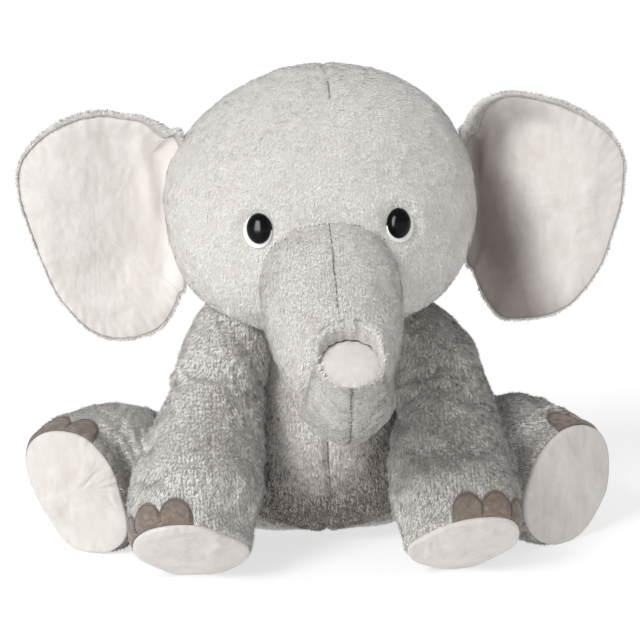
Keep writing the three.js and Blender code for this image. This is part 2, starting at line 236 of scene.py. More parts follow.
def closed_grid(rows, *caps, flip=False):
    """Points and faces of a grid [rows, columns, 3] that is closed round its columns.

    Each cap is (row, point): a point that closes the grid at its first or last row.
    """
    count, cols = rows.shape[:2]
    verts = np.concatenate([rows.reshape(-1, 3)] + [np.reshape(point, (1, 3)) for _, point in caps])
    faces = [grid_faces(count, cols, True, flip=flip)]
    for k, (row, _) in enumerate(caps):
        ring = row % count * cols + np.arange(cols)
        faces.append(cap_faces(ring, count * cols + k, flip=(row != 0) != flip))
    return verts, faces


def grid_normals(p):
    """Outward normals of a grid [rows, columns, 3] whose columns run round it."""
    around = np.roll(p, -1, axis=1) - np.roll(p, 1, axis=1)
    return unit(np.cross(around, np.gradient(p, axis=0)))


def settle(verts):
    """Flattens whatever would reach below the floor."""
    out = np.array(verts, float)
    low = out[..., 2] < FLOOR_CLEAR + 2
    depth = FLOOR_CLEAR + 2 - out[..., 2]
    out[..., 2] = np.where(low, FLOOR_CLEAR + 2 * np.exp(-np.maximum(depth, 0) / 2), out[..., 2])
    return out


# ---------------------------------------------------------------- materials
def srgb(r, g, b):
    """A colour as a screen shows it, from 0 to 255, as the light that a surface sends back."""
    linear = [c / 255 / 12.92 if c <= 10 else ((c / 255 + 0.055) / 1.055) ** 2.4 for c in (r, g, b)]
    return (*linear, 1.0)


class Shader:
    """A node material with one principled shader, built up in a few lines."""

    def __init__(self, name, roughness, sheen=0.0, sheen_roughness=0.5, sheen_tint=(1, 1, 1, 1)):
        self.material = bpy.data.materials.new(name)
        self.material.use_nodes = True
        self.tree = self.material.node_tree
        self.inputs = self.tree.nodes["Principled BSDF"].inputs
        self.give(self.inputs, {"Roughness": roughness, "Specular IOR Level": 0.25})
        self.give(self.inputs, {"Sheen Weight": sheen, "Sheen Roughness": sheen_roughness})
        self.give(self.inputs, {"Sheen Tint": sheen_tint})
        self.place = self.node("TexCoord", {}).outputs["Object"]

    def give(self, inputs, values):
        """Sets each input to a plain value, or links it to another node's output."""
        for name, value in values.items():
            if isinstance(value, bpy.types.NodeSocket):
                self.tree.links.new(value, inputs[name])
            else:
                inputs[name].default_value = value

    def node(self, kind, values):
        node = self.tree.nodes.new("ShaderNode" + kind)
        self.give(node.inputs, values)
        return node

    def noise(self, per_metre, detail=4.0, rough=0.6, stretch=None, distortion=0.0):
        place = self.place
        if stretch:
            place = self.node("Mapping", {"Vector": place, "Scale": stretch}).outputs["Vector"]
        grain = {"Scale": per_metre, "Detail": detail, "Roughness": rough, "Distortion": distortion}
        return self.node("TexNoise", {"Vector": place, **grain}).outputs["Fac"]

    def ramp(self, factor, stops):
        node = self.node("ValToRGB", {"Fac": factor})
        elements = node.color_ramp.elements
        elements[0].position, elements[0].color = stops[0]
        elements[1].position, elements[1].color = stops[-1]
        for position, colour in stops[1:-1]:
            elements.new(position).color = colour
        return node.outputs["Color"]

    def mix(self, factor, a, b, kind="MIX"):
        """Two colours mixed; a mix node of colours has them at its inputs 6 and 7."""
        node = self.node("Mix", {})
        node.data_type = "RGBA"
        node.blend_type = kind
        self.give(node.inputs, {0: factor, 6: a, 7: b})
        return node.outputs[2]

    def colour(self, value):
        self.give(self.inputs, {"Base Color": value})

    def bumps(self, *layers):
        """Each layer is (height output, distance in metres, strength)."""
        normal = {}
        for height, distance, strength in layers:
            layer = {"Height": height, "Distance": distance, "Strength": strength}
            normal = {"Normal": self.node("Bump", {**layer, **normal}).outputs["Normal"]}
        self.give(self.inputs, normal)


def plush_backing(name, dim):
    """The cloth that the pile stands in: matted, mottled grey; dim is taken off each tone, as painted shade
    in the gaps between strands.
    """
    shader = Shader(name, roughness=0.95, sheen=0.35, sheen_roughness=0.6)
    broad = shader.noise(22, detail=3)
    clump = shader.noise(260, detail=5, rough=0.7, distortion=0.8)
    shades = [srgb(r - dim, g - dim, b - dim) for r, g, b in BACKING_COLOURS]
    tone = shader.ramp(clump, [(0.3, shades[0]), (0.55, shades[1]), (0.8, shades[2])])
    aged = shader.mix(broad, tone, shades[1])
    shader.colour(shader.mix(0.35, tone, aged))
    shader.bumps((clump, 0.003, 0.7), (shader.noise(900, detail=3), 0.001, 0.5))
    return shader.material


BACKING_COLOURS = [(180, 175, 171), (206, 202, 198), (222, 218, 215)]
PILE_COLOURS = [
    (233, 231, 228), (224, 221, 218), (212, 208, 205), (194, 190, 187), (168, 163, 159), (139, 133, 128),
    (108, 102, 98), (84, 78, 74),
]


def pile_tones():
    """Plain colours that the strands of pile are shared out between."""
    tones = []
    for i, rgb in enumerate(PILE_COLOURS):
        shader = Shader(f"plush_pile_{i + 1}", roughness=0.85, sheen=0.25, sheen_roughness=0.45)
        shader.colour(srgb(*rgb))
        tones.append(shader.material)
    return tones


PAINTED_SHADOW_LEAN = math.radians(16)  # the edge of the painted shadow runs outwards as it goes down
PAINTED_SHADOW_SPAN = (0.264, 0.302)  # where it starts and ends, in metres across
FLOOR_GREY = (178, 178, 178)
FLOOR_GLOW = 0.62
VELOUR_COLOURS = [(203, 197, 192), (210, 203, 198), (222, 216, 212), (231, 227, 223), (237, 233, 230)]


def velour(name, dim, fold=False):
    """Short brushed nap with faint strokes and soft mottling; dim is taken off each tone.

    With fold, a painted shadow of the head darkens the lining next to it, in the fold where the left ear
    meets the head.
    """
    shader = Shader(name, roughness=0.9, sheen=0.45, sheen_roughness=0.4, sheen_tint=(1, 0.98, 0.96, 1))
    strokes = shader.noise(70, detail=4, rough=0.6, stretch=(1, 1, 0.45), distortion=0.5)
    nap = shader.noise(1500, detail=3, rough=0.7)
    shades = [srgb(r - dim, g - dim, b - dim) for r, g, b in VELOUR_COLOURS]
    tone = shader.ramp(strokes, [(0.3, shades[1]), (0.5, shades[2]), (0.72, shades[3])])
    speck = shader.ramp(nap, [(0.25, shades[0]), (0.75, shades[4])])
    cloth = shader.mix(0.3, tone, speck)
    # Painted shadow: the head's cast shadow, multiplied in, darkest next to the head
    if fold:
        turned = shader.node("Mapping", {"Vector": shader.place, "Rotation": (0, PAINTED_SHADOW_LEAN, 0)})
        split = shader.node("SeparateXYZ", {"Vector": turned.outputs["Vector"]})
        span = {"From Min": PAINTED_SHADOW_SPAN[0], "From Max": PAINTED_SHADOW_SPAN[1]}
        reach = shader.node("MapRange", {"Value": split.outputs["X"], **span})
        shades = [(0.0, (0.4, 0.37, 0.36, 1)), (1.0, (1, 1, 1, 1))]
        painted_head_shadow = shader.ramp(reach.outputs["Result"], shades)
        cloth = shader.mix(1.0, cloth, painted_head_shadow, "MULTIPLY")
    shader.colour(cloth)
    shader.bumps((strokes, 0.0012, 0.35), (nap, 0.0005, 0.6))
    return shader.material


def suede():
    """Taupe suede-like cloth, rubbed paler in patches."""
    shader = Shader("suede", roughness=0.82, sheen=0.3, sheen_roughness=0.45, sheen_tint=(1, 0.93, 0.87, 1))
    rub = shader.noise(160, detail=5, rough=0.65, distortion=0.6)
    grain = shader.noise(1900, detail=3, rough=0.7)
    shades = [(0.28, srgb(78, 69, 62)), (0.5, srgb(112, 101, 92)), (0.75, srgb(156, 142, 130))]
    tone = shader.ramp(rub, shades)
    speck = shader.ramp(grain, [(0.3, srgb(92, 83, 76)), (0.7, srgb(146, 133, 122))])
    shader.colour(shader.mix(0.35, tone, speck))
    shader.bumps((rub, 0.0008, 0.5), (grain, 0.0004, 0.7))
    return shader.material


def grained(name, grain, dark, pale, spread, bump, **surface):
    """Two shades that follow one grain, which also roughens the surface.

    spread is how far in from each end of the grain's range its plain shade starts.
    """
    shader = Shader(name, **surface)
    height = shader.noise(**grain)
    shader.colour(shader.ramp(height, [(spread, srgb(*dark)), (1 - spread, srgb(*pale))]))
    shader.bumps((height, *bump))
    return shader.material


def eye_gloss():
    """Moulded black plastic with a clear, very slightly scuffed surface."""
    shader = Shader("eye_gloss", roughness=0.12)
    shader.give(shader.inputs, {"Specular IOR Level": 0.13})
    scuff = shader.noise(420, detail=4)
    shader.colour(shader.ramp(scuff, [(0.4, srgb(4, 4, 5)), (0.7, srgb(9, 8, 9))]))
    rough = shader.ramp(scuff, [(0.35, (0.17, 0.17, 0.17, 1)), (0.75, (0.24, 0.24, 0.24, 1))])
    shader.give(shader.inputs, {"Roughness": rough})
    return shader.material


def thread(name, rgb):
    """Twisted sewing thread."""
    grain = {"per_metre": 1600, "detail": 2, "stretch": (1, 1, 0.3)}
    dark = tuple(int(c * 0.72) for c in rgb)
    return grained(name, grain, dark, rgb, 0.35, (0.0003, 0.5), roughness=0.7, sheen=0.2)


def floor_paper():
    """White paper, which glows a little so that only the shadows show on it."""
    shader = Shader("floor_paper", roughness=0.9)
    shader.colour(srgb(*FLOOR_GREY))
    shader.give(shader.inputs, {"Emission Color": (1, 1, 1, 1), "Emission Strength": FLOOR_GLOW})
    return shader.material


# Darker copies of one backing: each dim is painted shade in the gaps between strands, deepest on the legs,
# then the torso and the trunk
BACKING = plush_backing("plush_backing", 0)
GAP_SHADED_BACKING = plush_backing("plush_backing_gap_shade", 50)
TRUNK_BACKING = plush_backing("trunk_plush_backing", 14)
TORSO_BACKING = plush_backing("torso_plush_backing", 30)
PILE_TONES = pile_tones()
VELOUR = velour("ear_velour", 3)
# The left ear's lining: painted shade all over, 11 levels darker, and the head's painted shadow in its fold
PAINTED_SHADE_EAR_VELOUR = velour("ear_velour_painted_shade", 11, fold=True)
# The soles' and the trunk tip's velour: the ears' velour made darker, as painted shade where they face the
# key light
SOLE_VELOUR = velour("sole_velour", 14)
SUEDE = suede()
FELT_GRAIN = {"per_metre": 1400, "detail": 4, "rough": 0.75, "distortion": 1.5}
FELT_SHADES = (222, 221, 217), (245, 244, 241)
FELT = grained("felt", FELT_GRAIN, *FELT_SHADES, 0.3, (0.0004, 0.7), roughness=0.95, sheen=0.3)
EYE_GLOSS = eye_gloss()
SEAM_THREAD = thread("seam_thread", (118, 112, 107))
SOLE_THREAD = thread("sole_thread", (176, 170, 165))
BROW_THREAD = thread("brow_thread", (116, 110, 105))
NAIL_THREAD = thread("nail_thread", (74, 64, 57))
WASHER_GRAIN = {"per_metre": 300, "detail": 3}
WASHER_SHADES = (222, 221, 214), (232, 231, 226)
WASHER = grained("washer_plastic", WASHER_GRAIN, *WASHER_SHADES, 0.3, (0.0002, 0.3), roughness=0.5)
FLOOR_PAPER = floor_paper()


# ---------------------------------------------------------------- pile
def threes(items, field, kind=np.float32):
    """A field of three numbers for each of a mesh's items."""
    values = np.zeros(len(items) * 3, kind)
    items.foreach_get(field, values)
    return values.reshape(-1, 3)


def skin_arrays(obj):
    """Points (mm), triangles and point normals of a made skin."""
    mesh = obj.data
    mesh.calc_loop_triangles()
    points = threes(mesh.vertices, "co") / MM
    return points, threes(mesh.loop_triangles, "vertices", np.int32), threes(mesh.vertex_normals, "vector")


def pile(
    name, skin, nap, seed, where=None, shade=None,
    density=0.62, length=PILE, width=1.15, lift=24, matted=1.0,
):
    """Strands of pile all over a skin: tapering blades that lie along the nap.

    nap gives each point's direction, where the share of strands kept at each point, and shade how
    many tones darker they are. Neighbours lean to a common centre, which mats them into tufts.
    matted is how far they lean to it, how much the tufts differ in tone, and how dark the painted shade
    of strands far from a tuft's middle is. density is strands per square millimetre, and lift the angle
    in degrees at which they stand off the cloth.
    """
    rng = np.random.default_rng(seed)
    verts, tris, normals = skin_arrays(skin)
    corners = verts[tris]
    first, second = corners[:, 1] - corners[:, 0], corners[:, 2] - corners[:, 0]
    area = 0.5 * np.linalg.norm(np.cross(first, second), axis=1)
    edges = np.cumsum(area)
    count = int(edges[-1] * density)
    spots = (np.arange(count) + rng.random(count)) / count * edges[-1]
    pick = np.minimum(np.searchsorted(edges, spots), len(tris) - 1)
    a, b = rng.random((2, count, 1))
    a, b = np.where(a + b > 1, 1 - a, a), np.where(a + b > 1, 1 - b, b)
    share = np.concatenate([1 - a - b, a, b], axis=1)[:, :, None]
    root = np.sum(corners[pick] * share, axis=1)
    normal = unit(np.sum(normals[tris[pick]] * share, axis=1))
    if where is not None:
        keep = rng.random(count) < where(root, normal)
        root, normal = root[keep], normal[keep]
        count = len(root)

    lay = unit(nap(root, normal))
    lay = lay + 0.45 * noise_vector(root, 18, seed) + 0.4 * noise_vector(root, 6, seed + 5)
    lay += 0.25 * rng.normal(size=(count, 3))
    lay -= np.sum(lay * normal, axis=1, keepdims=True) * normal
    lay = unit(lay)
    cell = np.floor(root / TUFT + 0.35 * noise_vector(root, 9, seed + 9))
    centre = (cell + 0.5) * TUFT + GRADIENTS[lattice(cell, seed)] * 1.1
    pull = centre - root
    pull -= np.sum(pull * normal, axis=1, keepdims=True) * normal
    astray = np.linalg.norm(pull, axis=1)
    pull += lay * 1.2
    angle = lift + 12 * noise(root, 7, seed + 3) + rng.normal(0, 9, count)
    angle = np.radians(np.clip(angle, 4, 85))[:, None]
    long = length * (1 + 0.2 * rng.normal(size=(count, 1)) + 0.25 * noise(root, 12, seed + 4)[:, None])
    long = np.clip(long, length * 0.45, length * 1.5)
    wide = width * (0.7 + 0.6 * rng.random((count, 1)))
    side = np.cross(lay, normal) * wide * 0.5
    base = root - normal * 0.5
    tip = base + (lay * np.cos(angle) + normal * np.sin(angle)) * long
    tip += 0.55 * matted * np.clip(pull, -3.5, 3.5)
    points = np.stack([base - side, base + side, tip], axis=1).reshape(-1, 3)
    points[:, 2] = np.maximum(points[:, 2], FLOOR_CLEAR)
    # Strands far from their tuft's middle are darker, a painted shade in the gaps between tufts; each tuft
    # also gets a random tone
    tuft = 0.8 * noise(root, 9, seed + 6) + 0.9 * (astray - 1.4)
    tuft += 1.1 * GRADIENTS[lattice(cell, seed + 2)][:, 0]
    tone = 1.0 + matted * tuft + 0.4 * rng.normal(size=count)
    if shade is not None:
        tone = tone + shade(root, normal)
    tone = np.clip(np.round(tone), 0, len(PILE_TONES) - 1).astype(int)
    return new_object(name, points, [np.arange(count * 3).reshape(-1, 3)], PILE_TONES, slots=tone)


def parted(q, line, half):
    """0 along a seam, where the pile parts, and 1 further than half from it."""
    nearest = np.full(len(q), 1e9)
    for point in line:
        nearest = np.minimum(nearest, np.sum((q - point) ** 2, axis=1))
    return ramp(half * 0.6, half, np.sqrt(nearest))


def downwards(p, n):
    return np.broadcast_to(-Z_AXIS, p.shape)


# ---------------------------------------------------------------- stuffing
def stuffed(obj, held, swell, pressure=4.0):
    """Lets the stuffing press a cloth outwards, held along its seams, and keeps the result.

    held is True at each point that a seam holds. No point moves further than swell, in millimetres,
    and the average growth is taken off again, so that the piece keeps its size.
    """
    mesh = obj.data
    before = threes(mesh.vertices, "co").astype(float)
    normals = threes(mesh.vertex_normals, "vector")
    group = obj.vertex_groups.new(name="seam")
    group.add([int(i) for i in np.nonzero(held)[0]], 1.0, "REPLACE")
    cloth = obj.modifiers.new("stuffing", "CLOTH")
    settings = cloth.settings
    settings.quality = 4
    settings.mass = 0.15
    settings.tension_stiffness = settings.compression_stiffness = 12
    settings.shear_stiffness = 4
    settings.bending_stiffness = 0.4
    settings.use_pressure = True
    settings.uniform_pressure_force = pressure
    settings.shrink_min = CLOTH_SPARE
    settings.vertex_group_mass = "seam"
    settings.effector_weights.gravity = 0
    cloth.collision_settings.use_collision = False
    cloth.collision_settings.use_self_collision = False
    scene = bpy.context.scene
    cloth.point_cache.frame_start, cloth.point_cache.frame_end = 1, SIMULATED_FRAMES
    for step in range(1, SIMULATED_FRAMES + 1):
        scene.frame_set(step)
    painted_head_shadow = obj.evaluated_get(bpy.context.evaluated_depsgraph_get()).to_mesh()
    after = threes(painted_head_shadow.vertices, "co")
    obj.modifiers.remove(cloth)
    obj.vertex_groups.remove(group)
    scene.frame_set(1)
    move = (after - before) / MM
    growth = np.sum(move * normals, axis=1)
    move -= np.where(held, 0, growth[~held].mean())[:, None] * normals
    size = np.linalg.norm(move, axis=1, keepdims=True)
    move *= np.where(held, 0, 1)[:, None] * np.minimum(1, swell / np.maximum(size, 1e-6))
    after = before + move * MM
    after[:, 2] = np.maximum(after[:, 2], np.minimum(before[:, 2], FLOOR_CLEAR * MM))
    mesh.vertices.foreach_set("co", after.astype(np.float32).ravel())
    mesh.update()


# ---------------------------------------------------------------- joining to the frame
def attach(obj, body):
    """A piece that rides on one body."""
    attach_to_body(obj, body)


def attach_bent(obj):
    """A piece left where it was made, with its placement baked into its points."""
    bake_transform(obj)


# ---------------------------------------------------------------- stitches
def stitches(name, line, normals, material, length=3.2, gap=2.2, radius=0.42):
    """Short threads laid end to end along a line of points (mm)."""
    run = run_along(line)
    sides, rows = 6, 5
    arch = np.sin(np.linspace(0, math.pi, rows))[:, None]
    size = radius * (0.7 + 0.3 * arch)
    verts, faces = [], []
    for start in np.arange(gap, run[-1] - length, length + gap):
        s = np.linspace(start, start + length, rows)
        centre = part_way(s, run, line)
        out = unit(part_way(s, run, normals))
        across = unit(np.cross(unit(np.gradient(centre, axis=0)), out))
        centre = centre + out * arch * radius * 1.2
        ring = centre[:, None] + spokes(size, size, circle(sides), across[:, None], out[:, None])
        faces.append(grid_faces(rows, sides, True, len(verts) * rows * sides))
        verts.append(ring.reshape(-1, 3))
    return new_object(name, np.concatenate(verts), faces, [material])


# ---------------------------------------------------------------- limbs
class Limb:
    """A stuffed tube: a centre line, half-widths across and upwards, and a rounded root.

    s runs along it in millimetres, from its root pivot; below 0 it is the rounded root.
    phi is 0 on its +X side and 90 degrees on its front or top.
    """

    def __init__(self, line, across, upwards, root_length, bow=0.0, squared=0.0, keel=0.0):
        self.line = line
        self.squared = squared  # how square its section is on top of the root, from 0 for an oval
        self.keel = keel  # how narrow its underside is at the bend, from 0 for an oval
        self.run = run_along(line)
        self.length = self.run[-1]
        self.tangents = unit(np.gradient(line, axis=0))
        self.widths = through(np.stack([across, upwards], axis=1), 60)
        self.root_length = root_length
        self.bow = bow  # how far its rounded root turns towards +X

    def centre(self, s):
        inside = np.clip(s, 0, self.length)
        point = part_way(inside, self.run, self.line)
        past = (s - inside)[..., None]
        bow = self.bow * X_AXIS * (np.minimum(past, 0) / self.root_length) ** 2
        return point + self.tangent(s) * past + bow

    def tangent(self, s):
        return unit(part_way(np.clip(s, 0, self.length), self.run, self.tangents))

    def axes(self, s):
        tangent = self.tangent(s)
        across = unit(X_AXIS - tangent * tangent[..., :1])
        return across, np.cross(tangent, across)

    def sizes(self, s):
        """Its half-widths at s, across and upwards."""
        share = np.clip(s, 0, self.length) / self.length
        round_off = np.sqrt(1 - np.clip(-s / self.root_length, 0, 1) ** 2)
        return [np.interp(share, np.linspace(0, 1, len(w)), w) * round_off for w in self.widths.T]

    def at(self, s, phi, grow=0.0):
        """Points of the surface; s and phi are arrays of one shape."""
        across, upwards = self.axes(s)
        wide, high = self.sizes(s)
        corner = np.sin(2 * phi) ** 2
        fuller = 1 + self.squared * ramp(70, 20, s) * corner * (np.sin(phi) > 0)
        fuller = fuller - self.keel * bump(s - 150, 50) * corner * (np.sin(phi) < 0)
        return self.centre(s) + spokes((wide + grow) * fuller, (high + grow) * fuller, phi, across, upwards)

    def direction(self, q, n):
        """Which way the limb runs beside points q."""
        every = 4
        away = np.linalg.norm(q[:, None, :] - self.line[None, ::every], axis=2)
        spot = np.argmin(away, axis=1) * every
        return self.tangents[np.minimum(spot, len(self.line) - 1)]


def tube_normal(tube, s, phi):
    """The outward normal of a limb or a leg at s, phi."""
    along = tube.at(s + 0.5, phi) - tube.at(s - 0.5, phi)
    around = tube.at(s, phi + 0.01) - tube.at(s, phi - 0.01)
    return unit(np.cross(around, along))


def rounded_root(limb, count, first=0.02):
    """Distances s over a limb's rounded root, closest together where it closes."""
    return -limb.root_length * np.cos(np.linspace(first, math.pi / 2, count))


def bezier(a, b, c, count=80):
    """A curve from a to c, drawn towards b."""
    t = np.linspace(0, 1, count)[:, None]
    return (1 - t) ** 2 * a + 2 * t * (1 - t) * b + t**2 * c


def tube_points(tube, s, slices, shape):
    """A grid over a limb or a leg, moved by shape(points, normals, s, phi)."""
    grid_s, grid_phi = np.meshgrid(s, circle(slices), indexing="ij")
    points = tube.at(grid_s, grid_phi)
    return shape(points, grid_normals(points), grid_s, grid_phi)


def tube_skin(name, limb, s, slices, shape, materials, end=None):
    """A skin over a limb, closed at its root, and at its end if that point is given."""
    points = settle(tube_points(limb, s, slices, shape))
    caps = [(0, points[0].mean(axis=0))] + ([] if end is None else [(-1, end)])
    return new_object(name, *closed_grid(points, *caps), materials)


# ---------------------------------------------------------------- head
def head_value(p):
    """Below 1 inside the head, above 1 outside."""
    q = (p - HEAD_CENTRE) / HEAD_RADII
    full = HEAD_FULL_BELOW + (HEAD_FULL_ABOVE - HEAD_FULL_BELOW) * ramp(-0.6, 0.5, q[..., 2])
    return np.sum(np.abs(q) ** full[..., None], axis=-1) ** (1 / full)


def head_surface(direction):
    """The head's surface along directions from its centre."""
    d = unit(direction)
    reach = np.full(d.shape[:-1], 130.0)
    for _ in range(12):
        reach = reach / head_value(HEAD_CENTRE + d * reach[..., None])
    return HEAD_CENTRE + d * reach[..., None]


def crown_lean(z):
    """The crown sits a little to one side."""
    return 7.0 * ramp(385, 480, z)


def head_front(x, z):
    """The head's surface point at x, z, on its face side, and the normal there."""
    point = np.array([x, HEAD_CENTRE[1] - 100, z], float)
    for _ in range(30):
        point = head_surface(point - HEAD_CENTRE)
        point[0], point[2] = x, z
    point = head_surface(point - HEAD_CENTRE)
    step = 0.5
    slope = [head_value(point + step * e) - head_value(point - step * e) for e in np.eye(3)]
    return point, unit(np.array(slope))


EYES = {side: head_front(sign * EYE_ACROSS, EYE_HEIGHT) for side, sign in SIGN.items()}


def head_skin():
    rows, cols = 150, 270
    lat = np.linspace(0, math.pi, rows)
    lon = circle(cols)
    grid_lat, grid_lon = np.meshgrid(lat, lon, indexing="ij")
    turn = np.stack([0 * grid_lon, np.cos(grid_lon), np.sin(grid_lon)], axis=-1)
    d = np.sin(grid_lat)[..., None] * turn - np.cos(grid_lat)[..., None] * X_AXIS
    p = head_surface(d)
    n = unit(p - HEAD_CENTRE)
    move = 1.6 * noise(p, 70, 1) + 0.9 * noise(p, 24, 2) + 0.5 * noise(p, 9, 3)
    for point, _ in EYES.values():
        away = np.linalg.norm(p - point, axis=-1)
        move -= 4.2 * bump(away, 17) - 1.6 * bump(away - 27, 9)
    seam = bump(p[..., 0], 2.6) * np.clip(ramp(462, 472, p[..., 2]) + ramp(-30, 10, p[..., 1]), 0, 1)
    move -= 1.9 * seam * ramp(235, 260, p[..., 2])
    p = p + n * move[..., None]
    p[..., 0] += crown_lean(p[..., 2])
    skin = new_object("head_skin", *closed_grid(p), [BACKING])
    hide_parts("head_cover", "head_stuffing")
    return skin


def near_eye(p):
    """1 away from the eyes, 0 where an eye covers the head."""
    keep = np.ones(len(p))
    for point, _ in EYES.values():
        offset = p - point
        flat = np.sqrt((offset[:, 0] / 12) ** 2 + (offset[:, 2] / 14.5) ** 2)
        keep *= ramp(0.9, 1.02, flat)
    return keep


def make_head():
    skin = head_skin()
    attach(skin, "head")

    def swirl(p, n):
        """Down the cheeks, away from the eyes and the trunk."""
        crown = ramp(0.6, 0.9, n[:, 2])
        sideways = 0.45 * np.tanh(p[:, 0] / 60) + 1.3 * crown * np.tanh(p[:, 0] / 14)
        flow = np.stack([sideways, -0.45 * np.ones(len(p)), -np.ones(len(p))], axis=1)
        for point, _ in EYES.values():
            offset = p - point
            flow += 1.5 * unit(offset) * bump(np.linalg.norm(offset, axis=1), 22)[:, None]
        return flow

    tilts = np.linspace(*DART_TILTS, 12)
    dart = head_surface(np.stack([0 * tilts, -np.sin(tilts), np.cos(tilts)], axis=1))
    dart[:, 0] += crown_lean(dart[:, 2])
    dart_out = unit(dart - HEAD_CENTRE)
    dart_line = dart - dart_out * 0.6
    dart_thread = stitches("crown_stitches", dart_line, dart_out, SEAM_THREAD, length=4.0, gap=0.6)
    attach(dart_thread, "head")

    def shown(p, n):
        keep = near_eye(p) * ramp(*NECK_LINE, p[:, 2])
        return keep * parted(p, dart, 1.5) * parted(p, BROW_SEAM, BROW_PARTING)

    def fresh(p, n):
        return -0.3 + 0.5 * noise(p, 60, 22)

    looks = {"lift": 14, "density": 0.8, "width": 1.2, "matted": 0.42}
    hair = pile("head_pile", skin, swirl, 21, shown, fresh, **looks)
    attach(hair, "head")


# ---------------------------------------------------------------- eyes
def local_axes(normal):
    """Directions across and up a surface."""
    across = unit(np.cross(Z_AXIS, normal))
    return across, np.cross(normal, across)


def make_eye(side):
    """A domed eye on its felt crescent."""
    point, normal = EYES[side]
    across, upwards = local_axes(normal)
    rings, slices = 22, 64
    turn = circle(slices)
    climb = np.linspace(0, math.pi / 2, rings)[:, None]
    flare = np.cos(climb) ** 0.86
    lift = -3.0 + (EYE_DOME + 1.5) * np.sin(climb) ** 0.9 + 0 * turn
    base = point + normal * 0.5
    p = base + spokes(EYE_HALF[0] * flare, EYE_HALF[1] * flare, turn, across, upwards)
    p = p + lift[..., None] * normal
    p = np.concatenate([p[:1] - normal * 6, p])
    dome = new_object(f"{side}_eye_dome", *closed_grid(p), [EYE_GLOSS])
    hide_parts(f"{side}_eye")
    attach(dome, "head")

    rows, cols = 9, 72
    angle = circle(cols)
    radial = np.linspace(0.55, 1, rows)[:, None]
    wide = EYE_HALF[0] * 1.12 * radial * np.cos(angle)
    high = EYE_HALF[1] * 1.07 * radial * np.sin(angle)
    outward = across * np.sign(across[0]) * SIGN[side]
    drop = outward * 1.5 - upwards * 2.9
    flat = np.stack([wide, high, 0 * high], axis=-1)
    lift = 1.0 * (1 - radial**6) - 0.6 + 0.15 * noise(flat, 3, 4)
    p = base + drop + wide[..., None] * across + high[..., None] * upwards + lift[..., None] * normal
    p = np.concatenate([p, p[-1:] - normal * 3])
    white = new_object(f"{side}_eye_crescent", *closed_grid(p, flip=True), [FELT])
    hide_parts(f"{side}_eye_felt")
    attach(white, "head")
    frame["nodes"][f"{side}_eye_washer"].data.materials.clear()
    frame["nodes"][f"{side}_eye_washer"].data.materials.append(WASHER)


# ---------------------------------------------------------------- trunk
def trunk_limb():
    start = TRUNK_ROOT
    angles = np.radians(np.linspace(BEND_FROM, BEND_TO, 60))
    lean = np.interp(np.linspace(0, 1, 60), [0, 0.6, 1], [TRUNK_LEAN[0], 6.5, TRUNK_LEAN[1]])
    ahead = BEND_CENTRE[1] + BEND_RADIUS * np.cos(angles)
    bend = np.stack([lean, ahead, BEND_CENTRE[2] - BEND_RADIUS * np.sin(angles)], axis=1)
    straight = start + (bend[0] - start) * np.linspace(0, 1, 40, endpoint=False)[:, None]
    away = np.array([0, -math.sin(angles[-1]), -math.cos(angles[-1])])
    tip = bend[-1] + away * np.linspace(0, TRUNK_TIP_LENGTH, 24)[1:, None]
    line = np.concatenate([straight, bend, tip])
    for _ in range(30):
        line[1:-1] = (line[:-2] + 2 * line[1:-1] + line[2:]) / 4
    across = [66, 67, 66, 62.5, 56.5, 50, 46, 43, 39.5, 36, 33, 31.5]
    upwards = [61, 60, 58, 54, 49, 44, 40, 37, 34, 32.5, 31.5, 31]
    return Limb(line, across, upwards, root_length=66, squared=0.05, keel=0.12)


TRUNK = trunk_limb()
TRUNK_SPLIT = 74.0  # where the trunk's upper and lower skins meet
TIP_DISC = 27.5  # radius of the velour disc in its tip
TIP_ROLL = 4.0  # how far before its end it starts to roll
TIP_SLICES = 120


def brow_seam():
    """Where the top of the trunk meets the brow, from one side to the other."""
    line = []
    s = np.linspace(-64, 40, 400)
    for phi in np.linspace(math.radians(12), math.radians(168), 61):
        inside = head_value(TRUNK.at(s, np.full_like(s, phi))) < 1
        if inside.any():
            last = s[np.nonzero(inside)[0][-1]]
            line.append(TRUNK.at(np.array(last), np.array(phi), grow=0.4))
    return np.array(line)


BROW_SEAM = brow_seam()


def trunk_detail(p, n, s, phi):
    """Slack folds inside the bend, soft lumps, and the centre seam down the front."""
    move = 1.3 * noise(p, 45, 5) + 0.8 * noise(p, 17, 6) + 0.4 * noise(p, 8, 7)
    inner = ramp(0.35, 0.95, np.sin(phi)) * bump(s - 150, 42)
    move += inner * (2.0 * np.sin(s / 5.2 + 0.8 * noise(p, 30, 8)) - 2.0)
    seam = bump(TRUNK.sizes(s)[0] * (phi - math.pi / 2), 1.9) * ramp(-40, -20, s)
    move -= 1.4 * seam * (1 - ramp(95, 120, s))
    under = bump(TRUNK.sizes(s)[0] * (phi - 1.5 * math.pi), 2.0)
    move -= 1.5 * under * ramp(60, 100, s)
    return p + n * move[..., None]


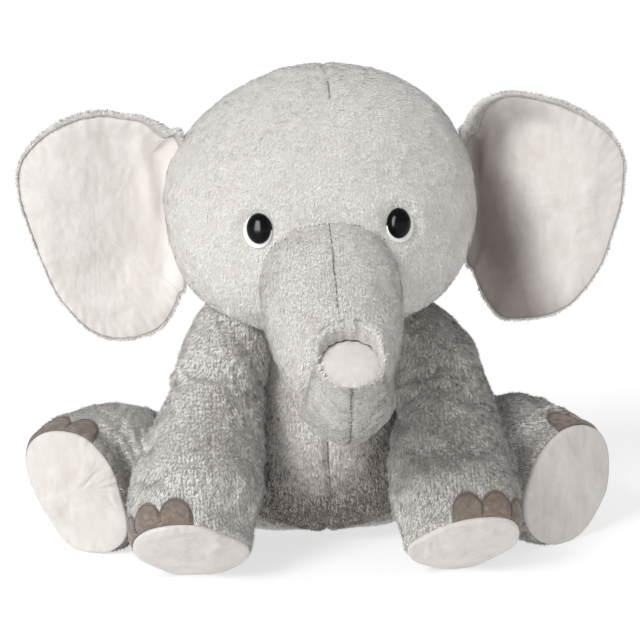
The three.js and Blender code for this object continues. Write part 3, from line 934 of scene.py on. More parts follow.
def trunk_tip(end):
    """The rolled end of the trunk, which stands up behind the disc, and its velour disc."""
    phi = circle(TIP_SLICES)
    across, upwards = TRUNK.axes(np.array(end))
    forward = TRUNK.tangent(np.array(end))
    centre = TRUNK.centre(np.array(end - TIP_ROLL))
    near = centre - upwards * 4.5
    back = ramp(-0.15, 0.9, np.sin(phi))  # the far side, where the lip is
    peak = bump((phi - math.pi / 2 + 0.12) * 34, 4.0)
    pucker = 0.5 * np.sin(phi * 17 + 1.3 * np.sin(phi * 3)) * (0.4 + back)
    # each row: how far it has moved to the disc's centre, then radius and height at the far side
    # and at the near side
    roll = [
        (0.0, 31.5, 0.0, 31.5, 0.0),
        (0.15, 34.5, 4.0, 32.3, 1.0),
        (0.3, 37.0, 9.0, 32.4, 2.2),
        (0.5, 37.5, 14.5, 31.6, 3.2),
        (0.7, 35.0, 17.5, 30.2, 3.6),
        (0.85, 31.5, 15.5, 28.8, 3.0),
        (0.95, 29.3, 10.5, 27.8, 1.8),
        (1.0, 27.6, 5.0, 27.2, 0.2),
        (1.0, 27.0, 1.5, 26.9, -1.0),
    ]
    rows = []
    for inward, far_radius, far_lift, near_radius, near_lift in roll:
        r = near_radius + (far_radius - near_radius) * back + pucker
        lift = near_lift + (far_lift - near_lift) * back + peak * 6 * far_lift / 17.5
        middle = centre + (near - centre) * inward
        rows.append(middle + forward * lift[:, None] + spokes(r, r, phi, across, upwards))
    rings = 18
    radial = np.linspace(1, 0, rings)[:, None]
    seat = near + forward * 0.6
    dome = 4.2 * (1 - radial**2.4) ** 0.8 - 1.0 + 0.35 * np.sin(phi * 17)[None] * radial**6
    reach = TIP_DISC * radial
    disc = seat + forward * dome[..., None] + spokes(reach, reach, phi, across, upwards)
    face = new_object("trunk_tip_velour", *closed_grid(disc), [SOLE_VELOUR])
    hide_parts("trunk_tip_disc")
    ring = seat + spokes(TIP_DISC * 1.01, TIP_DISC * 1.01, phi, across, upwards)
    ring = np.concatenate([ring, ring[:1]])
    outward = np.broadcast_to(forward, ring.shape)
    sewn = stitches("trunk_tip_stitches", ring, outward, SEAM_THREAD, length=3.0, gap=0.8, radius=0.5)
    return np.stack(rows), face, sewn, seat, forward


def make_trunk():
    upper_s = np.append(rounded_root(TRUNK, 26), np.linspace(3, TRUNK_SPLIT, 25))
    upper = tube_skin("trunk_upper_skin", TRUNK, upper_s, 150, trunk_detail, [TRUNK_BACKING])
    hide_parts("trunk_cover", "trunk_stuffing")

    end = TRUNK.length
    lower_s = np.linspace(TRUNK_SPLIT, end - TIP_ROLL, 70)
    p = tube_points(TRUNK, lower_s, TIP_SLICES, trunk_detail)
    lip, face, sewn, seat, forward = trunk_tip(end)
    rows = np.concatenate([p, lip[1:]])
    lower = new_object("trunk_lower_skin", *closed_grid(rows), [TRUNK_BACKING])
    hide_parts("trunk_tip_cover", "trunk_tip_stuffing")

    def seam(name, low, high, phi, length, gap):
        s = np.linspace(low, high, 40)
        line = TRUNK.at(s, np.full_like(s, phi))
        out = tube_normal(TRUNK, s, np.full_like(s, phi))
        line[:, 0] += 1.3 * noise(line, 22, 35) + 0.5 * noise(line, 6, 36)
        return stitches(name, line - out * 1.1, out, SEAM_THREAD, length=length, gap=gap, radius=0.6), line

    ridge_top, ridge_top_line = seam("trunk_ridge_stitches", -34, TRUNK_SPLIT - 2, math.pi / 2, 6.0, 0.5)
    under, under_line = seam("trunk_under_stitches", 108, end - 6, 1.5 * math.pi, 3.2, 1.6)
    brow_out = unit(BROW_SEAM - TRUNK_ROOT - 20 * Y_AXIS)
    brow_line = BROW_SEAM - brow_out * 0.4
    brow = stitches("brow_stitches", brow_line, brow_out, BROW_THREAD, length=3.4, gap=1.4)

    def upper_shown(q, n):
        return (head_value(q) > 0.985) * parted(q, ridge_top_line, 1.3) * parted(q, BROW_SEAM, BROW_PARTING)

    def off_disc(q, n):
        from_seat = q - seat
        radius = np.linalg.norm(from_seat - (from_seat @ forward)[:, None] * forward, axis=1)
        covered = (radius < TIP_DISC + 1.5) & (from_seat @ forward > -6) & (from_seat @ forward < 5)
        return (1 - covered) * parted(q, under_line, 1.3) * parted(q, ridge_top_line, 1.3)

    def mottling_and_painted_light(q, n):
        """Darker along the seam under the tip and in broad patches, paler lower down, and paler round the
        tip's lip as painted light.
        """
        lower_down = ramp(250, 225, q[:, 2])
        under_seam = bump(q[:, 0] - TRUNK_LEAN[1], 9) * ramp(-285, -300, q[:, 1]) * lower_down
        # Painted light: the lip round the tip is made paler, where its inner wall faces down into shade
        lip = ramp(52, 40, np.linalg.norm(q - seat, axis=1)) * ramp(-6, 2, (q - seat) @ forward)
        tufts = ramp(-0.1, 0.35, noise(q, 6, 34))
        patches = -0.6 + noise(q, 24, 33) - 0.3 * lower_down
        return patches + 3.6 * under_seam * tufts - 1.8 * lip

    looks = {"nap": TRUNK.direction, "shade": mottling_and_painted_light, "matted": 0.85}
    upper_hair = pile("trunk_upper_pile", upper, seed=31, where=upper_shown, lift=26, **looks)
    lower_hair = pile("trunk_lower_pile", lower, seed=32, where=off_disc, lift=24, **looks)
    for obj in (upper, upper_hair, ridge_top):
        attach_bent(obj)
    for obj in (lower, lower_hair, under):
        attach_bent(obj)
    attach(face, "trunk_tip")
    attach(sewn, "trunk_tip")
    attach(brow, "head")


# ---------------------------------------------------------------- legs
FORE = {
    "across": [43, 49, 54, 59, 62, 62.5, 61.5, 57],
    "upwards": [50, 50, 52, 57, 62, 63.5, 62, 57],
    "pitch": 45,
    "shoulder": 98,
    "nail": (16.8, 27.0),
}
HIND = {
    "across": [56, 58, 60, 62, 64, 64.5, 63, 60],
    "upwards": [56, 59, 62, 66, 69.5, 70.5, 68, 62.5],
    "pitch": 0,
    "shoulder": 54,
    "nail": (15.5, 29.0),
}
CUT_BACK = 70  # how far behind its sole a leg starts to bend
SOLE_DOME = 2.4  # how far a sole bulges in its middle
SOLE_REACH = 57  # from its middle to its rim, on the whole
# A sole's outline is its reach from the middle, every 45 degrees round from its +X side.
LEGS = {
    "left_foreleg": {
        "kind": FORE, "side": 1, "foot": (123, -184), "outward": 4, "joint": "left_shoulder",
        "outline": [51, 60, 52, 47, 54, 48, 50, 44], "nails": [1, 29, 57], "bow": -78,
    },
    "right_foreleg": {
        "kind": FORE, "side": -1, "foot": (-142, -168), "outward": 4, "joint": "right_shoulder",
        "outline": [56, 46, 53, 59, 55, 47, 51, 53], "nails": [15, 44, 73], "bow": 2,
    },
    "left_hindleg": {
        "kind": HIND, "side": 1, "foot": (240, -84), "outward": 36, "joint": "left_hip",
        "outline": [57, 64, 59, 54, 60, 62, 58, 54], "nails": [6, 30, 54], "bow": 0,
    },
    "right_hindleg": {
        "kind": HIND, "side": -1, "foot": (-252, -48), "outward": 24, "joint": "right_hip",
        "outline": [47, 49, 61, 68, 47, 43, 60, 67], "nails": [-4, 22, 48], "bow": 0,
    },
}


class Leg:
    """A leg: a limb that widens into a foot, the sole that closes it, and its nails' places."""

    def __init__(self, name, kind, side, foot, outward, joint, outline, nails, bow):
        self.name, self.kind, self.side, self.nails = name, kind, side, nails
        self.round = through(np.stack([outline, np.zeros(len(outline))], axis=1), 360, closed=True)[:, 0]
        self.root = pivot(joint)
        turn = math.radians(outward) * side
        pitch = math.radians(kind["pitch"])
        level = math.cos(pitch)
        self.facing = np.array([math.sin(turn) * level, -math.cos(turn) * level, -math.sin(pitch)])
        self.across = unit(X_AXIS - self.facing * self.facing[0])
        self.upwards = np.cross(self.facing, self.across)
        low = np.max(-self.round * np.sin(np.radians(np.arange(360))))
        self.sole = np.array([foot[0], foot[1], low * self.upwards[2] + 0.8])
        line = bezier(self.root, self.sole - self.facing * CUT_BACK, self.sole)
        if kind is HIND:
            share = np.linspace(0, 1, len(kind["upwards"]))
            rest = np.interp(np.linspace(0, 1, len(line)), share, kind["upwards"])
            line[:, 2] = np.maximum(line[:, 2], rest + 1)
        self.limb = Limb(line, kind["across"], kind["upwards"], root_length=kind["shoulder"], bow=bow)
        turn_in = ramp(0.7, 1.0, np.linspace(0, 1, len(line)))[:, None]
        self.limb.tangents = unit(self.limb.tangents * (1 - turn_in) + self.facing * turn_in)
        self.seed = 40 + 10 * list(LEGS).index(name)

    def rim_points(self, out, grow, phi, scale=1.0):
        """Points round the sole: out in front of it, and grow beyond its rim, or within it."""
        reach = np.interp(np.degrees(phi) % 360, np.arange(361), np.append(self.round, self.round[0]))
        spoke = spokes(1, 1, phi, self.across, self.upwards)
        forward = self.facing * np.asarray(out)[..., None]
        return self.sole + forward + (reach * scale + grow)[..., None] * spoke

    def at(self, s, phi):
        """The leg's surface, which takes the sole's outline towards the foot."""
        back = self.limb.length - s
        foot = self.rim_points(-back, 3.6 + 4.5 * ramp(6, 50, back), phi)
        return foot + (self.limb.at(s, phi) - foot) * ramp(14, 66, back)[..., None]

    def foot_place(self, q):
        """How far behind the sole's plane points are, and at what angle round the foot."""
        offset = q - self.sole
        return -(offset @ self.facing), np.arctan2(offset @ self.upwards, offset @ self.across)


def leg_skin(leg):
    """The sewn plush tube, rolled in at the sole's seam."""
    limb, seed = leg.limb, leg.seed
    slices = 150
    phi = circle(slices)

    def gathered(p, n, s, phi):
        """Soft lumps, gathers beside the sole's seam, and slack creases below the root."""
        gather = np.sin(phi * 19 + 2.2 * noise(p, 40, seed))
        gather += 0.6 * np.sin(phi * 31 + 2 * noise(p, 30, seed + 1))
        move = 1.7 * noise(p, 55, seed) + 1.0 * noise(p, 20, seed + 2) + 0.5 * noise(p, 9, seed + 3)
        move += gather * np.exp((s - limb.length) / 15) * (0.6 + 0.5 * noise(p, 35, seed + 4))
        inside = ramp(0.2, 0.95, -np.sin(phi)) if leg.kind is FORE else 0.4
        crease = np.sin(s / 6.5 + 1.4 * noise(p, 45, seed + 5))
        move += 1.5 * inside * crease * bump(s - 0.32 * limb.length, 34)
        return p + n * move[..., None]

    s = np.append(rounded_root(limb, 30), np.arange(3, limb.length - 12, 3.1))
    p = tube_points(leg, s, slices, gathered)
    wave = 0.25 * np.sin(phi * 19) + 0.175 * np.sin(phi * 31 + 1)
    rolled = [
        leg.rim_points(np.full(slices, out), grow + wave, phi)
        for out, grow in [(-8.5, 3.6), (-5.2, 2.2), (-2.8, 0.6), (-1.6, -1.4), (-2.2, -3.6)]
    ]
    rows = settle(np.concatenate([p, np.stack(rolled)]))
    grid = closed_grid(rows, (0, rows[0].mean(axis=0)))
    skin = new_object(f"{leg.name}_skin", *grid, [GAP_SHADED_BACKING])
    back_rows = np.repeat(np.append(limb.length - s, np.zeros(len(rolled))), slices)
    root_rows = np.repeat(np.arange(len(rows)) < 2, slices)
    held = np.append(back_rows < FOOT_HELD, False) | np.append(root_rows, True)
    stuffed(skin, held, swell=5.0)
    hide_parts(f"{leg.name}_cover", f"{leg.name}_stuffing")
    return skin


def sole_piece(leg):
    """The velour sole, a low pillow that bulges over its seam and is drawn in along it."""
    slices = 180
    phi = circle(slices)
    edge = [(-3.4, -1.8), (-2.4, 0.2), (-0.8, 1.0), (1.0, 0.9), (2.6, -0.4), (3.9, -2.8), (4.9, -6.0)]
    profile = [(out, 1.0, grow) for out, grow in edge]
    profile += [(5.0 + SOLE_DOME * (1 - k**2), k, -6.0 * k) for k in np.linspace(0.95, 0.02, 30)]
    rows = []
    for out, scale, inset in profile:
        share = ramp(0.5, 1, scale)
        probe = SOLE_REACH * scale * np.stack([np.cos(phi), np.sin(phi), 0 * phi], axis=1)
        pucker = ramp(0.1, 0.8, noise(probe, 45, leg.seed + 9)) * share
        wave = np.sin(phi * 23 + 3 * noise(probe, 30, leg.seed + 6)) + 0.7 * np.sin(phi * 37 + 1)
        height = out + 0.6 * wave * pucker + 1.0 * noise(probe, 32, leg.seed + 7)
        rows.append(leg.rim_points(height, inset + 0.5 * wave * pucker * (out < 3), phi, scale))
    rows = settle(np.stack(rows))
    grid = closed_grid(rows, (-1, rows[-1].mean(axis=0)))
    disc = new_object(f"{leg.name}_sole_velour", *grid, [SOLE_VELOUR])
    held = np.append(np.repeat(np.arange(len(rows)) < 4, slices), False)
    stuffed(disc, held, swell=1.3, pressure=2.0)
    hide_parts(f"{leg.name}_sole")
    line = leg.rim_points(np.full(slices, -2.6), np.full(slices, 0.5), phi)
    line = settle(np.concatenate([line, line[:1]]))
    outward = unit(line - leg.sole)
    name = f"{leg.name}_sole_stitches"
    sewn = stitches(name, line, outward, SOLE_THREAD, length=3.2, gap=2.0, radius=0.45)
    return disc, sewn


def nail_shape(u):
    """A nail's height at u, from -1 to 1 across it, as a share of its whole height."""
    return (1 - np.abs(np.clip(u, -1, 1)) ** 2.2) ** 0.5


def nail_piece(leg, number, angle):
    """A flat half-round pad on the foot, sewn down just inside its edge."""
    limb = leg.limb
    centre_phi = math.pi / 2 - math.radians(angle) * leg.side
    half, rise = leg.kind["nail"]
    cols, rows = 36, 28
    u = np.linspace(-1, 1, cols)[None, :]
    v = np.linspace(0, 1, rows)[:, None]
    back = 2.0 + v * rise * nail_shape(u)
    wide = half * u + 0 * v
    edge = (1 - np.abs(u) ** 6) * (1 - v**7)
    s = limb.length - back
    phi = centre_phi + wide / limb.sizes(s)[0]
    p = leg.at(s, phi)
    n = tube_normal(leg, s, phi)
    rolled = leg.rim_points(-back, np.interp(back, [0, 2.8, 5.2, 8.5], [-1, 0.8, 2.4, 3.8]), phi)
    p = p + (rolled - p) * (1 - ramp(5, 13, back))[..., None]
    line_in = bump(np.maximum(np.abs(u), v) - 0.86, 0.05)
    lift = 1.3 - 0.3 * number + 1.5 * np.clip(edge, 0, 1) ** 0.5 - 0.5 * line_in
    lift += 0.3 * noise(p, 9, leg.seed + number)
    p = p + n * lift[..., None]
    verts = p.reshape(-1, 3)
    number_at = np.arange(rows * cols).reshape(rows, cols)
    up, down = number_at[1:-1, -1], number_at[-2:0:-1, 0]
    border = np.concatenate([number_at[0], up, number_at[-1, ::-1], down])
    skirt = verts[border] - n.reshape(-1, 3)[border] * 3.0
    base, turn = len(verts), np.arange(len(border))
    sides = np.stack([border, base + turn, base + np.roll(turn, -1), np.roll(border, -1)], axis=1)
    faces = [grid_faces(rows, cols, False), sides]
    pad = new_object(f"{leg.name}_nail_{number}", np.concatenate([verts, skirt]), faces, [SUEDE])
    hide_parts(f"{leg.name}_toenail_{number}")
    left, right, top = 3, cols - 4, rows - 4
    up, down = number_at[2:top, left], number_at[top:1:-1, right]
    path = np.concatenate([up, number_at[top, left:right], down])
    sewing = {"length": 2.2, "gap": 0.9, "radius": 0.38}
    name = f"{leg.name}_nail_{number}_stitches"
    sewn = stitches(name, verts[path], n.reshape(-1, 3)[path], NAIL_THREAD, **sewing)
    return pad, sewn


def make_leg(name, plan):
    leg = Leg(name, **plan)
    skin = leg_skin(leg)
    disc, sewn = sole_piece(leg)
    attach(disc, name)
    attach(sewn, name)
    for number, angle in enumerate(leg.nails, start=1):
        for piece in nail_piece(leg, number, angle):
            attach(piece, name)

    def shown(q, n):
        back, phi = leg.foot_place(q)
        half, rise = leg.kind["nail"]
        keep = ramp(0.0, 2.0, back)
        for angle in leg.nails:
            turn = phi - math.pi / 2 + math.radians(angle) * leg.side
            turn = (turn + math.pi) % (2 * math.pi) - math.pi
            u = turn * 60 / (half + 0.6)
            keep *= 1 - (np.abs(u) < 1) * (back < 4.5 + rise * nail_shape(u))
        keep *= torso_value(q) > TORSO_REACH
        keep *= head_value(q) > HEAD_REACH
        return keep

    def patches_and_painted_shade(q, n):
        """Painted shade: darker on the side facing away from the key light and further from the foot, paler
        on the side facing it; the right hind leg is also paler where it faces up. Random patches of tone
        are added.
        """
        back, _ = leg.foot_place(q)
        patch = 0.8 * noise(q, 48, leg.seed + 7) + 0.6 * noise(q, 20, leg.seed + 8)
        if leg.kind is HIND:
            inner = ramp(-0.5, 0.6, n[:, 0]) * ramp(0.9, 0.5, n[:, 2]) if leg.side < 0 else 0.45
            return -1.5 + 3.2 * inner + 0.9 * ramp(30, 90, back) + patch
        dark = 2.7
        pale_side = -0.85 if leg.side > 0 else -0.55
        pale = 0.9 if leg.side > 0 else 1.9 + 1.6 * ramp(-0.25, -0.75, n[:, 0])
        return dark * ramp(pale_side, pale_side + 0.8, n[:, 0]) * ramp(5, 70, back) - pale + patch

    looks = {"shade": patches_and_painted_shade, "lift": 34, "matted": 1.35}
    hair = pile(f"{name}_pile", skin, leg.limb.direction, leg.seed, where=shown, **looks)
    tangent = leg.limb.tangent(np.array(0.0))
    for obj in (skin, hair):
        attach_bent(obj)


# ---------------------------------------------------------------- torso
TORSO_HEIGHTS = [0, 8, 22, 50, 85, 120, 155, 190, 225, 255, 280]
TORSO_ACROSS = [92, 105, 112, 118, 119, 116, 108, 98, 88, 70, 30]
TORSO_DEEP = [92, 106, 113, 118, 118, 114, 105, 94, 84, 66, 30]
TORSO_REACH = 0.97  # no pile deeper inside the torso than this
UNDERSIDE = 95.0  # the height below which the belly curls under
BELLY_DRAWN_IN = 0.84  # of its depth, low down
SEAM_GROOVE = 3.4  # how deep its front seam is drawn in


def torso_sizes(z):
    heights, across, deep = through(np.stack([TORSO_HEIGHTS, TORSO_ACROSS, TORSO_DEEP], axis=1), 120).T
    return np.interp(z, heights, across), np.interp(z, heights, deep)


def belly_depth(z):
    """How much the front is drawn in, low down between the forelegs."""
    return BELLY_DRAWN_IN + (1 - BELLY_DRAWN_IN) * ramp(90, 180, z)


def belly_seam(z):
    """How far the seam down the front wanders sideways."""
    return 1.5 * np.sin(z / 25)


def torso_value(p):
    """Below 1 inside the torso, above 1 outside."""
    across, deep = torso_sizes(np.clip(p[..., 2], 0, 280))
    return np.sqrt((p[..., 0] / across) ** 2 + (p[..., 1] / deep) ** 2) + 10 * (p[..., 2] > 280)


def make_torso():
    slices = 230
    phi = circle(slices)
    z = np.concatenate([np.linspace(0, 8, 6), np.arange(11, 280, 3.1), [280]])
    across, deep = torso_sizes(z)
    p = spokes(across[:, None], deep[:, None], phi, X_AXIS, Y_AXIS)
    p[..., 2] = z[:, None]
    under = np.clip(1 - z / UNDERSIDE, 0, 1)[:, None]
    forward = ramp(-0.3, 0.9, -np.sin(phi))[None]
    p[..., :2] *= (1 - (1 - np.sqrt(1 - under**2)) * (0.1 + 0.9 * forward))[..., None]
    p[..., 1] *= np.where(p[..., 1] < 0, belly_depth(z)[:, None], 1)
    n = grid_normals(p)
    move = 1.8 * noise(p, 60, 61) + 1.0 * noise(p, 22, 62) + 0.5 * noise(p, 9, 63)
    move -= SEAM_GROOVE * bump(p[..., 0] - belly_seam(z)[:, None], 4.0)
    move += 0.9 * np.sin(p[..., 2] / 5.5 + noise(p, 25, 64)) * bump(p[..., 0], 16) * (p[..., 1] < 0)
    move *= ramp(0, 6, p[..., 2])
    p = p + n * move[..., None]
    p[0, :, 2] = FLOOR_CLEAR
    p[..., 2] = np.maximum(p[..., 2], FLOOR_CLEAR)
    grid = closed_grid(p, (-1, (0, 0, 286)), (0, (0, 0, FLOOR_CLEAR)))
    skin = new_object("torso_skin", *grid, [TORSO_BACKING])
    held = np.append(np.repeat((z < 6) | (z > 240), slices), [True, True])
    stuffed(skin, held, swell=4.0)
    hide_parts("torso_cover", "torso_stuffing")
    attach(skin, "torso")
    height = np.linspace(12, 215, 100)
    rows = skin_arrays(skin)[0][:-2].reshape(len(z), slices, 3)
    ahead = 3 * slices // 4  # the last column before the front's middle
    middle = rows[:, ahead : ahead + 2].mean(axis=1)
    front = np.interp(height, middle[:, 2], middle[:, 1])
    line = np.stack([belly_seam(height), front - 0.1, height], axis=1)
    out = np.broadcast_to(-Y_AXIS, line.shape)
    sewn = stitches("belly_stitches", line, out, SEAM_THREAD, length=4.2, gap=0.9, radius=0.55)
    attach(sewn, "torso")

    def shown(q, n):
        return (q[:, 2] > 1.5) * (head_value(q) > 0.9) * parted(q, line[::2], 2.3)

    # Painted shade: the front is darkened low down, under the trunk and between the forelegs, and towards
    # its sides below the chest; the noise adds random tone
    def dim(q, n):
        low = ramp(135, 45, q[:, 2])
        flank = ramp(16, 62, np.abs(q[:, 0] + 8)) * ramp(220, 150, q[:, 2])
        dark = 5.2 * (1 - (1 - low) * (1 - 0.85 * flank))
        return 0.1 + dark * ramp(0, 60, -q[:, 1]) + 0.7 * noise(q, 40, 66)

    hair = pile("torso_pile", skin, downwards, seed=60, where=shown, shade=dim, lift=28, matted=0.85)
    attach(hair, "torso")


# ---------------------------------------------------------------- ears
EAR_OUTLINES = {
    "right": [
        (-33, 58), (-18, 73), (3, 85), (28, 90), (50, 93), (77, 88), (99, 78), (115, 65), (126, 51),
        (131, 35), (131, 17), (127, -4), (116, -41), (108, -64), (99, -87), (86, -106), (70, -125),
        (52, -136), (33, -139), (13, -136), (-4, -128), (-16, -113), (-24, -95), (-31, -75),
    ],
    "left": [
        (-32, 52), (-26, 71), (-13, 90), (3, 98), (18, 101), (43, 97), (69, 89), (91, 78), (108, 66),
        (120, 55), (130, 40), (135, 23), (134, 2), (131, -20), (122, -48), (113, -75), (103, -92),
        (91, -107), (76, -121), (54, -130), (22, -132), (5, -127), (-10, -106), (-20, -80), (-28, -60),
    ],
}
EAR_HINGE = 168.0  # how far out an ear's outline starts to be measured
EAR_FULL = 13.0  # thickness at the padded middle
EAR_SWEEP = {"left": 6.0, "right": -8.0}  # how far its outer edge turns back
EAR_HOLLOW = {"left": 50.0, "right": 16.0}  # how deep it is cupped beside the head
EAR_ROLL = {"left": 0.16, "right": 0.05}  # how much more plush rolls over at the top, by the head
# how far an ear's outline is moved, outwards and up
EAR_SHIFT = {"left": (4.0, -2.0), "right": (-3.0, 1.0)}
EAR_CENTRE = np.array([56.0, -24.0])  # an ear's middle, out from its hinge and up


def ear_sheet(side, rho, theta_points, front):
    """One face of an ear: rho from 0 in the middle to 1 at the edge, around the outline."""
    flat = EAR_CENTRE + rho[..., None] * (theta_points[None] - EAR_CENTRE)
    u, w = flat[..., 0], flat[..., 1]
    sign = SIGN[side]
    edge = np.sqrt(np.clip(1 - rho**4, 0, 1))
    half = EAR_FULL / 2 * edge + 1.5
    probe = np.stack([u * sign, w, 0 * u], axis=-1)
    sweep = EAR_SWEEP[side] * ramp(20, 150, u) + 5 * np.sin((w + 40) / 95) * ramp(40, 150, u)
    wave = 2.2 * noise(probe, 60, 71) + 1.1 * noise(probe, 24, 72)
    hollow = EAR_HOLLOW[side] * ramp(110, -12, u) * ramp(1.0, 0.72, rho) * ramp(-130, -40, w)
    middle = EAR_ROOT_Y + 4 + sweep + wave + hollow
    if front:
        fold = 3.0 * bump(u + 2 - 0.12 * w, 7) * ramp(-30, 20, w) * ramp(0.98, 0.8, rho)
        fine = 0.5 * noise(probe, 8, 73) + 0.25 * noise(probe, 3.5, 74)
        depth = middle - half - fold + fine * edge
    else:
        depth = middle + half + 0.6 * noise(probe, 10, 75)
    x = sign * (EAR_HINGE + u)
    return np.stack([x, depth, HEAD_CENTRE[2] + w], axis=-1)


def make_ear(side):
    sign = SIGN[side]
    cols = 260
    outline = through(EAR_OUTLINES[side], cols, closed=True) + EAR_SHIFT[side]
    rim = 0.022 + 0.03 * ramp(30, 90, outline[:, 1])  # the plush that rolls over the edge
    rim += EAR_ROLL[side] * bump(outline[:, 0] + 22, 18) * bump(outline[:, 1] - 74, 24)
    share = np.concatenate([np.linspace(0.0, 0.94, 44), np.linspace(0.955, 1.0, 7)])[1:]
    rho = share[:, None] * (1.012 - rim)[None, :]
    p = ear_sheet(side, rho, outline, front=True)
    tuck = ramp(0.985, 1.0, np.repeat(share[:, None], cols, axis=1))
    p[..., 1] += 2.6 * tuck
    gather = np.sin(circle(cols) * 41) * 0.35
    p[..., 1] += gather * ramp(0.8, 0.95, rho)
    hub = ear_sheet(side, np.zeros((1, cols)), outline, front=True)[:, :1]
    lining_cloth = PAINTED_SHADE_EAR_VELOUR if side == "left" else VELOUR
    grid = closed_grid(p, (0, hub), flip=sign > 0)
    lining = new_object(f"{side}_ear_lining_velour", *grid, [lining_cloth])
    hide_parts(f"{side}_ear_lining", f"{side}_ear_wadding")

    front_rho = 1 - rim[None, :] * np.linspace(1, 0, 8)[:, None]
    back_rho = np.concatenate([np.linspace(0.999, 0.9, 10), np.linspace(0.88, 0.03, 34)])
    front = ear_sheet(side, front_rho, outline, front=True)
    tucked = np.linspace(1, 0, 8)[:, None] ** 2 * 3.2
    front[..., 1] += tucked - 1.3 * np.sin(np.linspace(0, math.pi, 8))[:, None]
    back = ear_sheet(side, np.repeat(back_rho[:, None], cols, axis=1), outline, front=False)
    rows = np.concatenate([front, back])
    grid = closed_grid(rows, (-1, back[-1].mean(axis=0)), flip=sign < 0)
    skin = new_object(f"{side}_ear_back_skin", *grid, [BACKING])
    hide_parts(f"{side}_ear_back")

    centre = np.array([sign * (EAR_HINGE + EAR_CENTRE[0]), 0, HEAD_CENTRE[2] + EAR_CENTRE[1]])

    def outward(q, n):
        flow = q - centre
        flow[:, 1] = 0
        return unit(flow) + np.array([0, -0.3, -0.5])

    def clear(q, n):
        return (head_value(q) > HEAD_REACH).astype(float)

    def fresh(q, n):
        return -0.5 + 0.4 * noise(q, 30, 76)

    hair = pile(f"{side}_ear_pile", skin, outward, 70 + sign, clear, fresh, length=4.2, lift=20, matted=0.5)
    for obj, slot in ((lining, "velour"), (skin, "plush"), (hair, "plush")):
        attach_bent(obj)


# ---------------------------------------------------------------- tail
def make_tail():
    root = pivot("tail_lift")
    low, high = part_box("tail_tuft")
    end = np.array([0, (low.y + high.y) / 2, (low.z + high.z) / 2]) / MM
    line = bezier(root + [0, -8, 6], (root + end) / 2 + [0, 3, 4], end)
    limb = Limb(line, [8, 7, 6.5, 6, 6, 6.5], [8, 7, 6.5, 6, 6, 6.5], root_length=8)
    s = np.append(rounded_root(limb, 7, first=0.1), np.arange(1.5, limb.length, 1.8))

    def ropy(p, n, grid_s, grid_phi):
        return p + n * (0.5 * noise(p, 8, 81) + 0.3 * np.sin(grid_s / 2.2))[..., None]

    cord = tube_skin("tail_skin", limb, s, 36, ropy, [BACKING], end=line[-1])
    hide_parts("tail_cord")
    tuft_line = bezier(end + [0, -1, 6], end + [0, 1, -2], end + [0, 3, -13])
    tuft_limb = Limb(tuft_line, [7, 10, 11, 9, 5, 2], [7, 10, 11, 9, 5, 2], root_length=6)
    s = np.append(rounded_root(tuft_limb, 6, first=0.1), np.arange(1.5, tuft_limb.length, 1.5))

    def shaggy(p, n, grid_s, grid_phi):
        return p + n * (1.2 * noise(p, 5, 82) + 0.8 * np.sin(grid_phi * 9))[..., None]

    tuft = tube_skin("tail_tuft_skin", tuft_limb, s, 48, shaggy, [BACKING], end=tuft_line[-1])
    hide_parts("tail_tuft")
    hair = pile("tail_pile", cord, downwards, seed=80, length=3.6, width=1.0, density=0.9)
    tuft_hair = pile("tail_tuft_pile", tuft, downwards, seed=82, length=8, width=1.2, density=1.4, lift=20)
    for obj in (cord, tuft, hair, tuft_hair):
        attach(obj, "tail")


# ---------------------------------------------------------------- studio
VIEW_AZIMUTH, VIEW_ELEVATION, VIEW_ROLL = -4.0, 15.0, 1.3
VIEW_DISTANCE = 3.0
VIEW_WIDTH = 0.64  # how much the view takes in at the target, in metres
VIEW_TARGET = Vector((-0.0025, -0.045, 0.2317))
SENSOR = 36.0
KEY_FROM = (-0.66, -0.62, 0.68)
KEY_POWER = 2.35
KEY_SOFTNESS = 24  # the angle that the key light fills, in degrees
SKY_POWER = 0.56
WINDOW_POWER = 190
WINDOW_SIZE = (1.1, 2.2)


def facing(direction):
    """The turn that makes a camera or a light look back along a direction."""
    return direction.to_track_quat("Z", "Y").to_matrix().to_4x4()


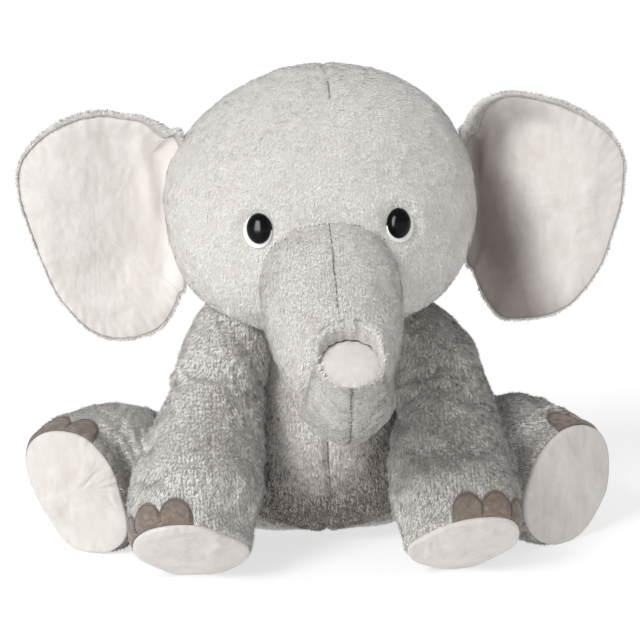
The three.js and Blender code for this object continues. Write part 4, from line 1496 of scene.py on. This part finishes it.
def make_camera():
    azimuth, elevation = math.radians(VIEW_AZIMUTH), math.radians(VIEW_ELEVATION)
    level = math.cos(elevation)
    towards = Vector((math.sin(azimuth) * level, -math.cos(azimuth) * level, math.sin(elevation)))
    data = bpy.data.cameras.new("camera")
    data.sensor_width = SENSOR
    data.lens = SENSOR * VIEW_DISTANCE / VIEW_WIDTH
    camera = placed("camera", data)
    roll = Matrix.Rotation(math.radians(-VIEW_ROLL), 4, "Z")
    place = Matrix.Translation(VIEW_TARGET + towards * VIEW_DISTANCE)
    camera.matrix_world = place @ facing(towards) @ roll
    bpy.context.scene.camera = camera


def area_light(name, place, target, size, watts):
    data = bpy.data.lights.new(name, "AREA")
    data.shape = "RECTANGLE"
    data.size, data.size_y = size
    data.energy = watts
    light = placed(name, data)
    light.matrix_world = Matrix.Translation(place) @ facing(Vector(place) - Vector(target))
    return light


def make_studio():
    corners = np.array([[-9, -9, 0], [9, -9, 0], [9, 12, 0], [-9, 12, 0]], float) / MM
    floor = new_object("floor", corners, [np.array([[0, 1, 2, 3]])], [FLOOR_PAPER])
    world = bpy.data.worlds.new("studio")
    bpy.context.scene.world = world
    world.use_nodes = True
    background = world.node_tree.nodes["Background"]
    background.inputs["Color"].default_value = (1, 1, 1, 1)
    background.inputs["Strength"].default_value = SKY_POWER
    sun = bpy.data.lights.new("key", "SUN")
    sun.energy = KEY_POWER
    sun.angle = math.radians(KEY_SOFTNESS)
    key = placed("key", sun)
    key.visible_glossy = False
    key.matrix_world = facing(Vector(KEY_FROM))
    window = area_light("window", (-1.1, -2.0, 0.9), (0, -0.05, 0.35), WINDOW_SIZE, WINDOW_POWER)
    window.visible_diffuse = False  # it is only there to shine in the eyes
    bpy.context.scene.view_settings.view_transform = "Standard"


# ---------------------------------------------------------------- the whole elephant
make_camera()
make_studio()
make_torso()
make_head()
for eye_side in ("left", "right"):
    make_eye(eye_side)
    make_ear(eye_side)
make_trunk()
for leg_name, leg_plan in LEGS.items():
    make_leg(leg_name, leg_plan)
make_tail()
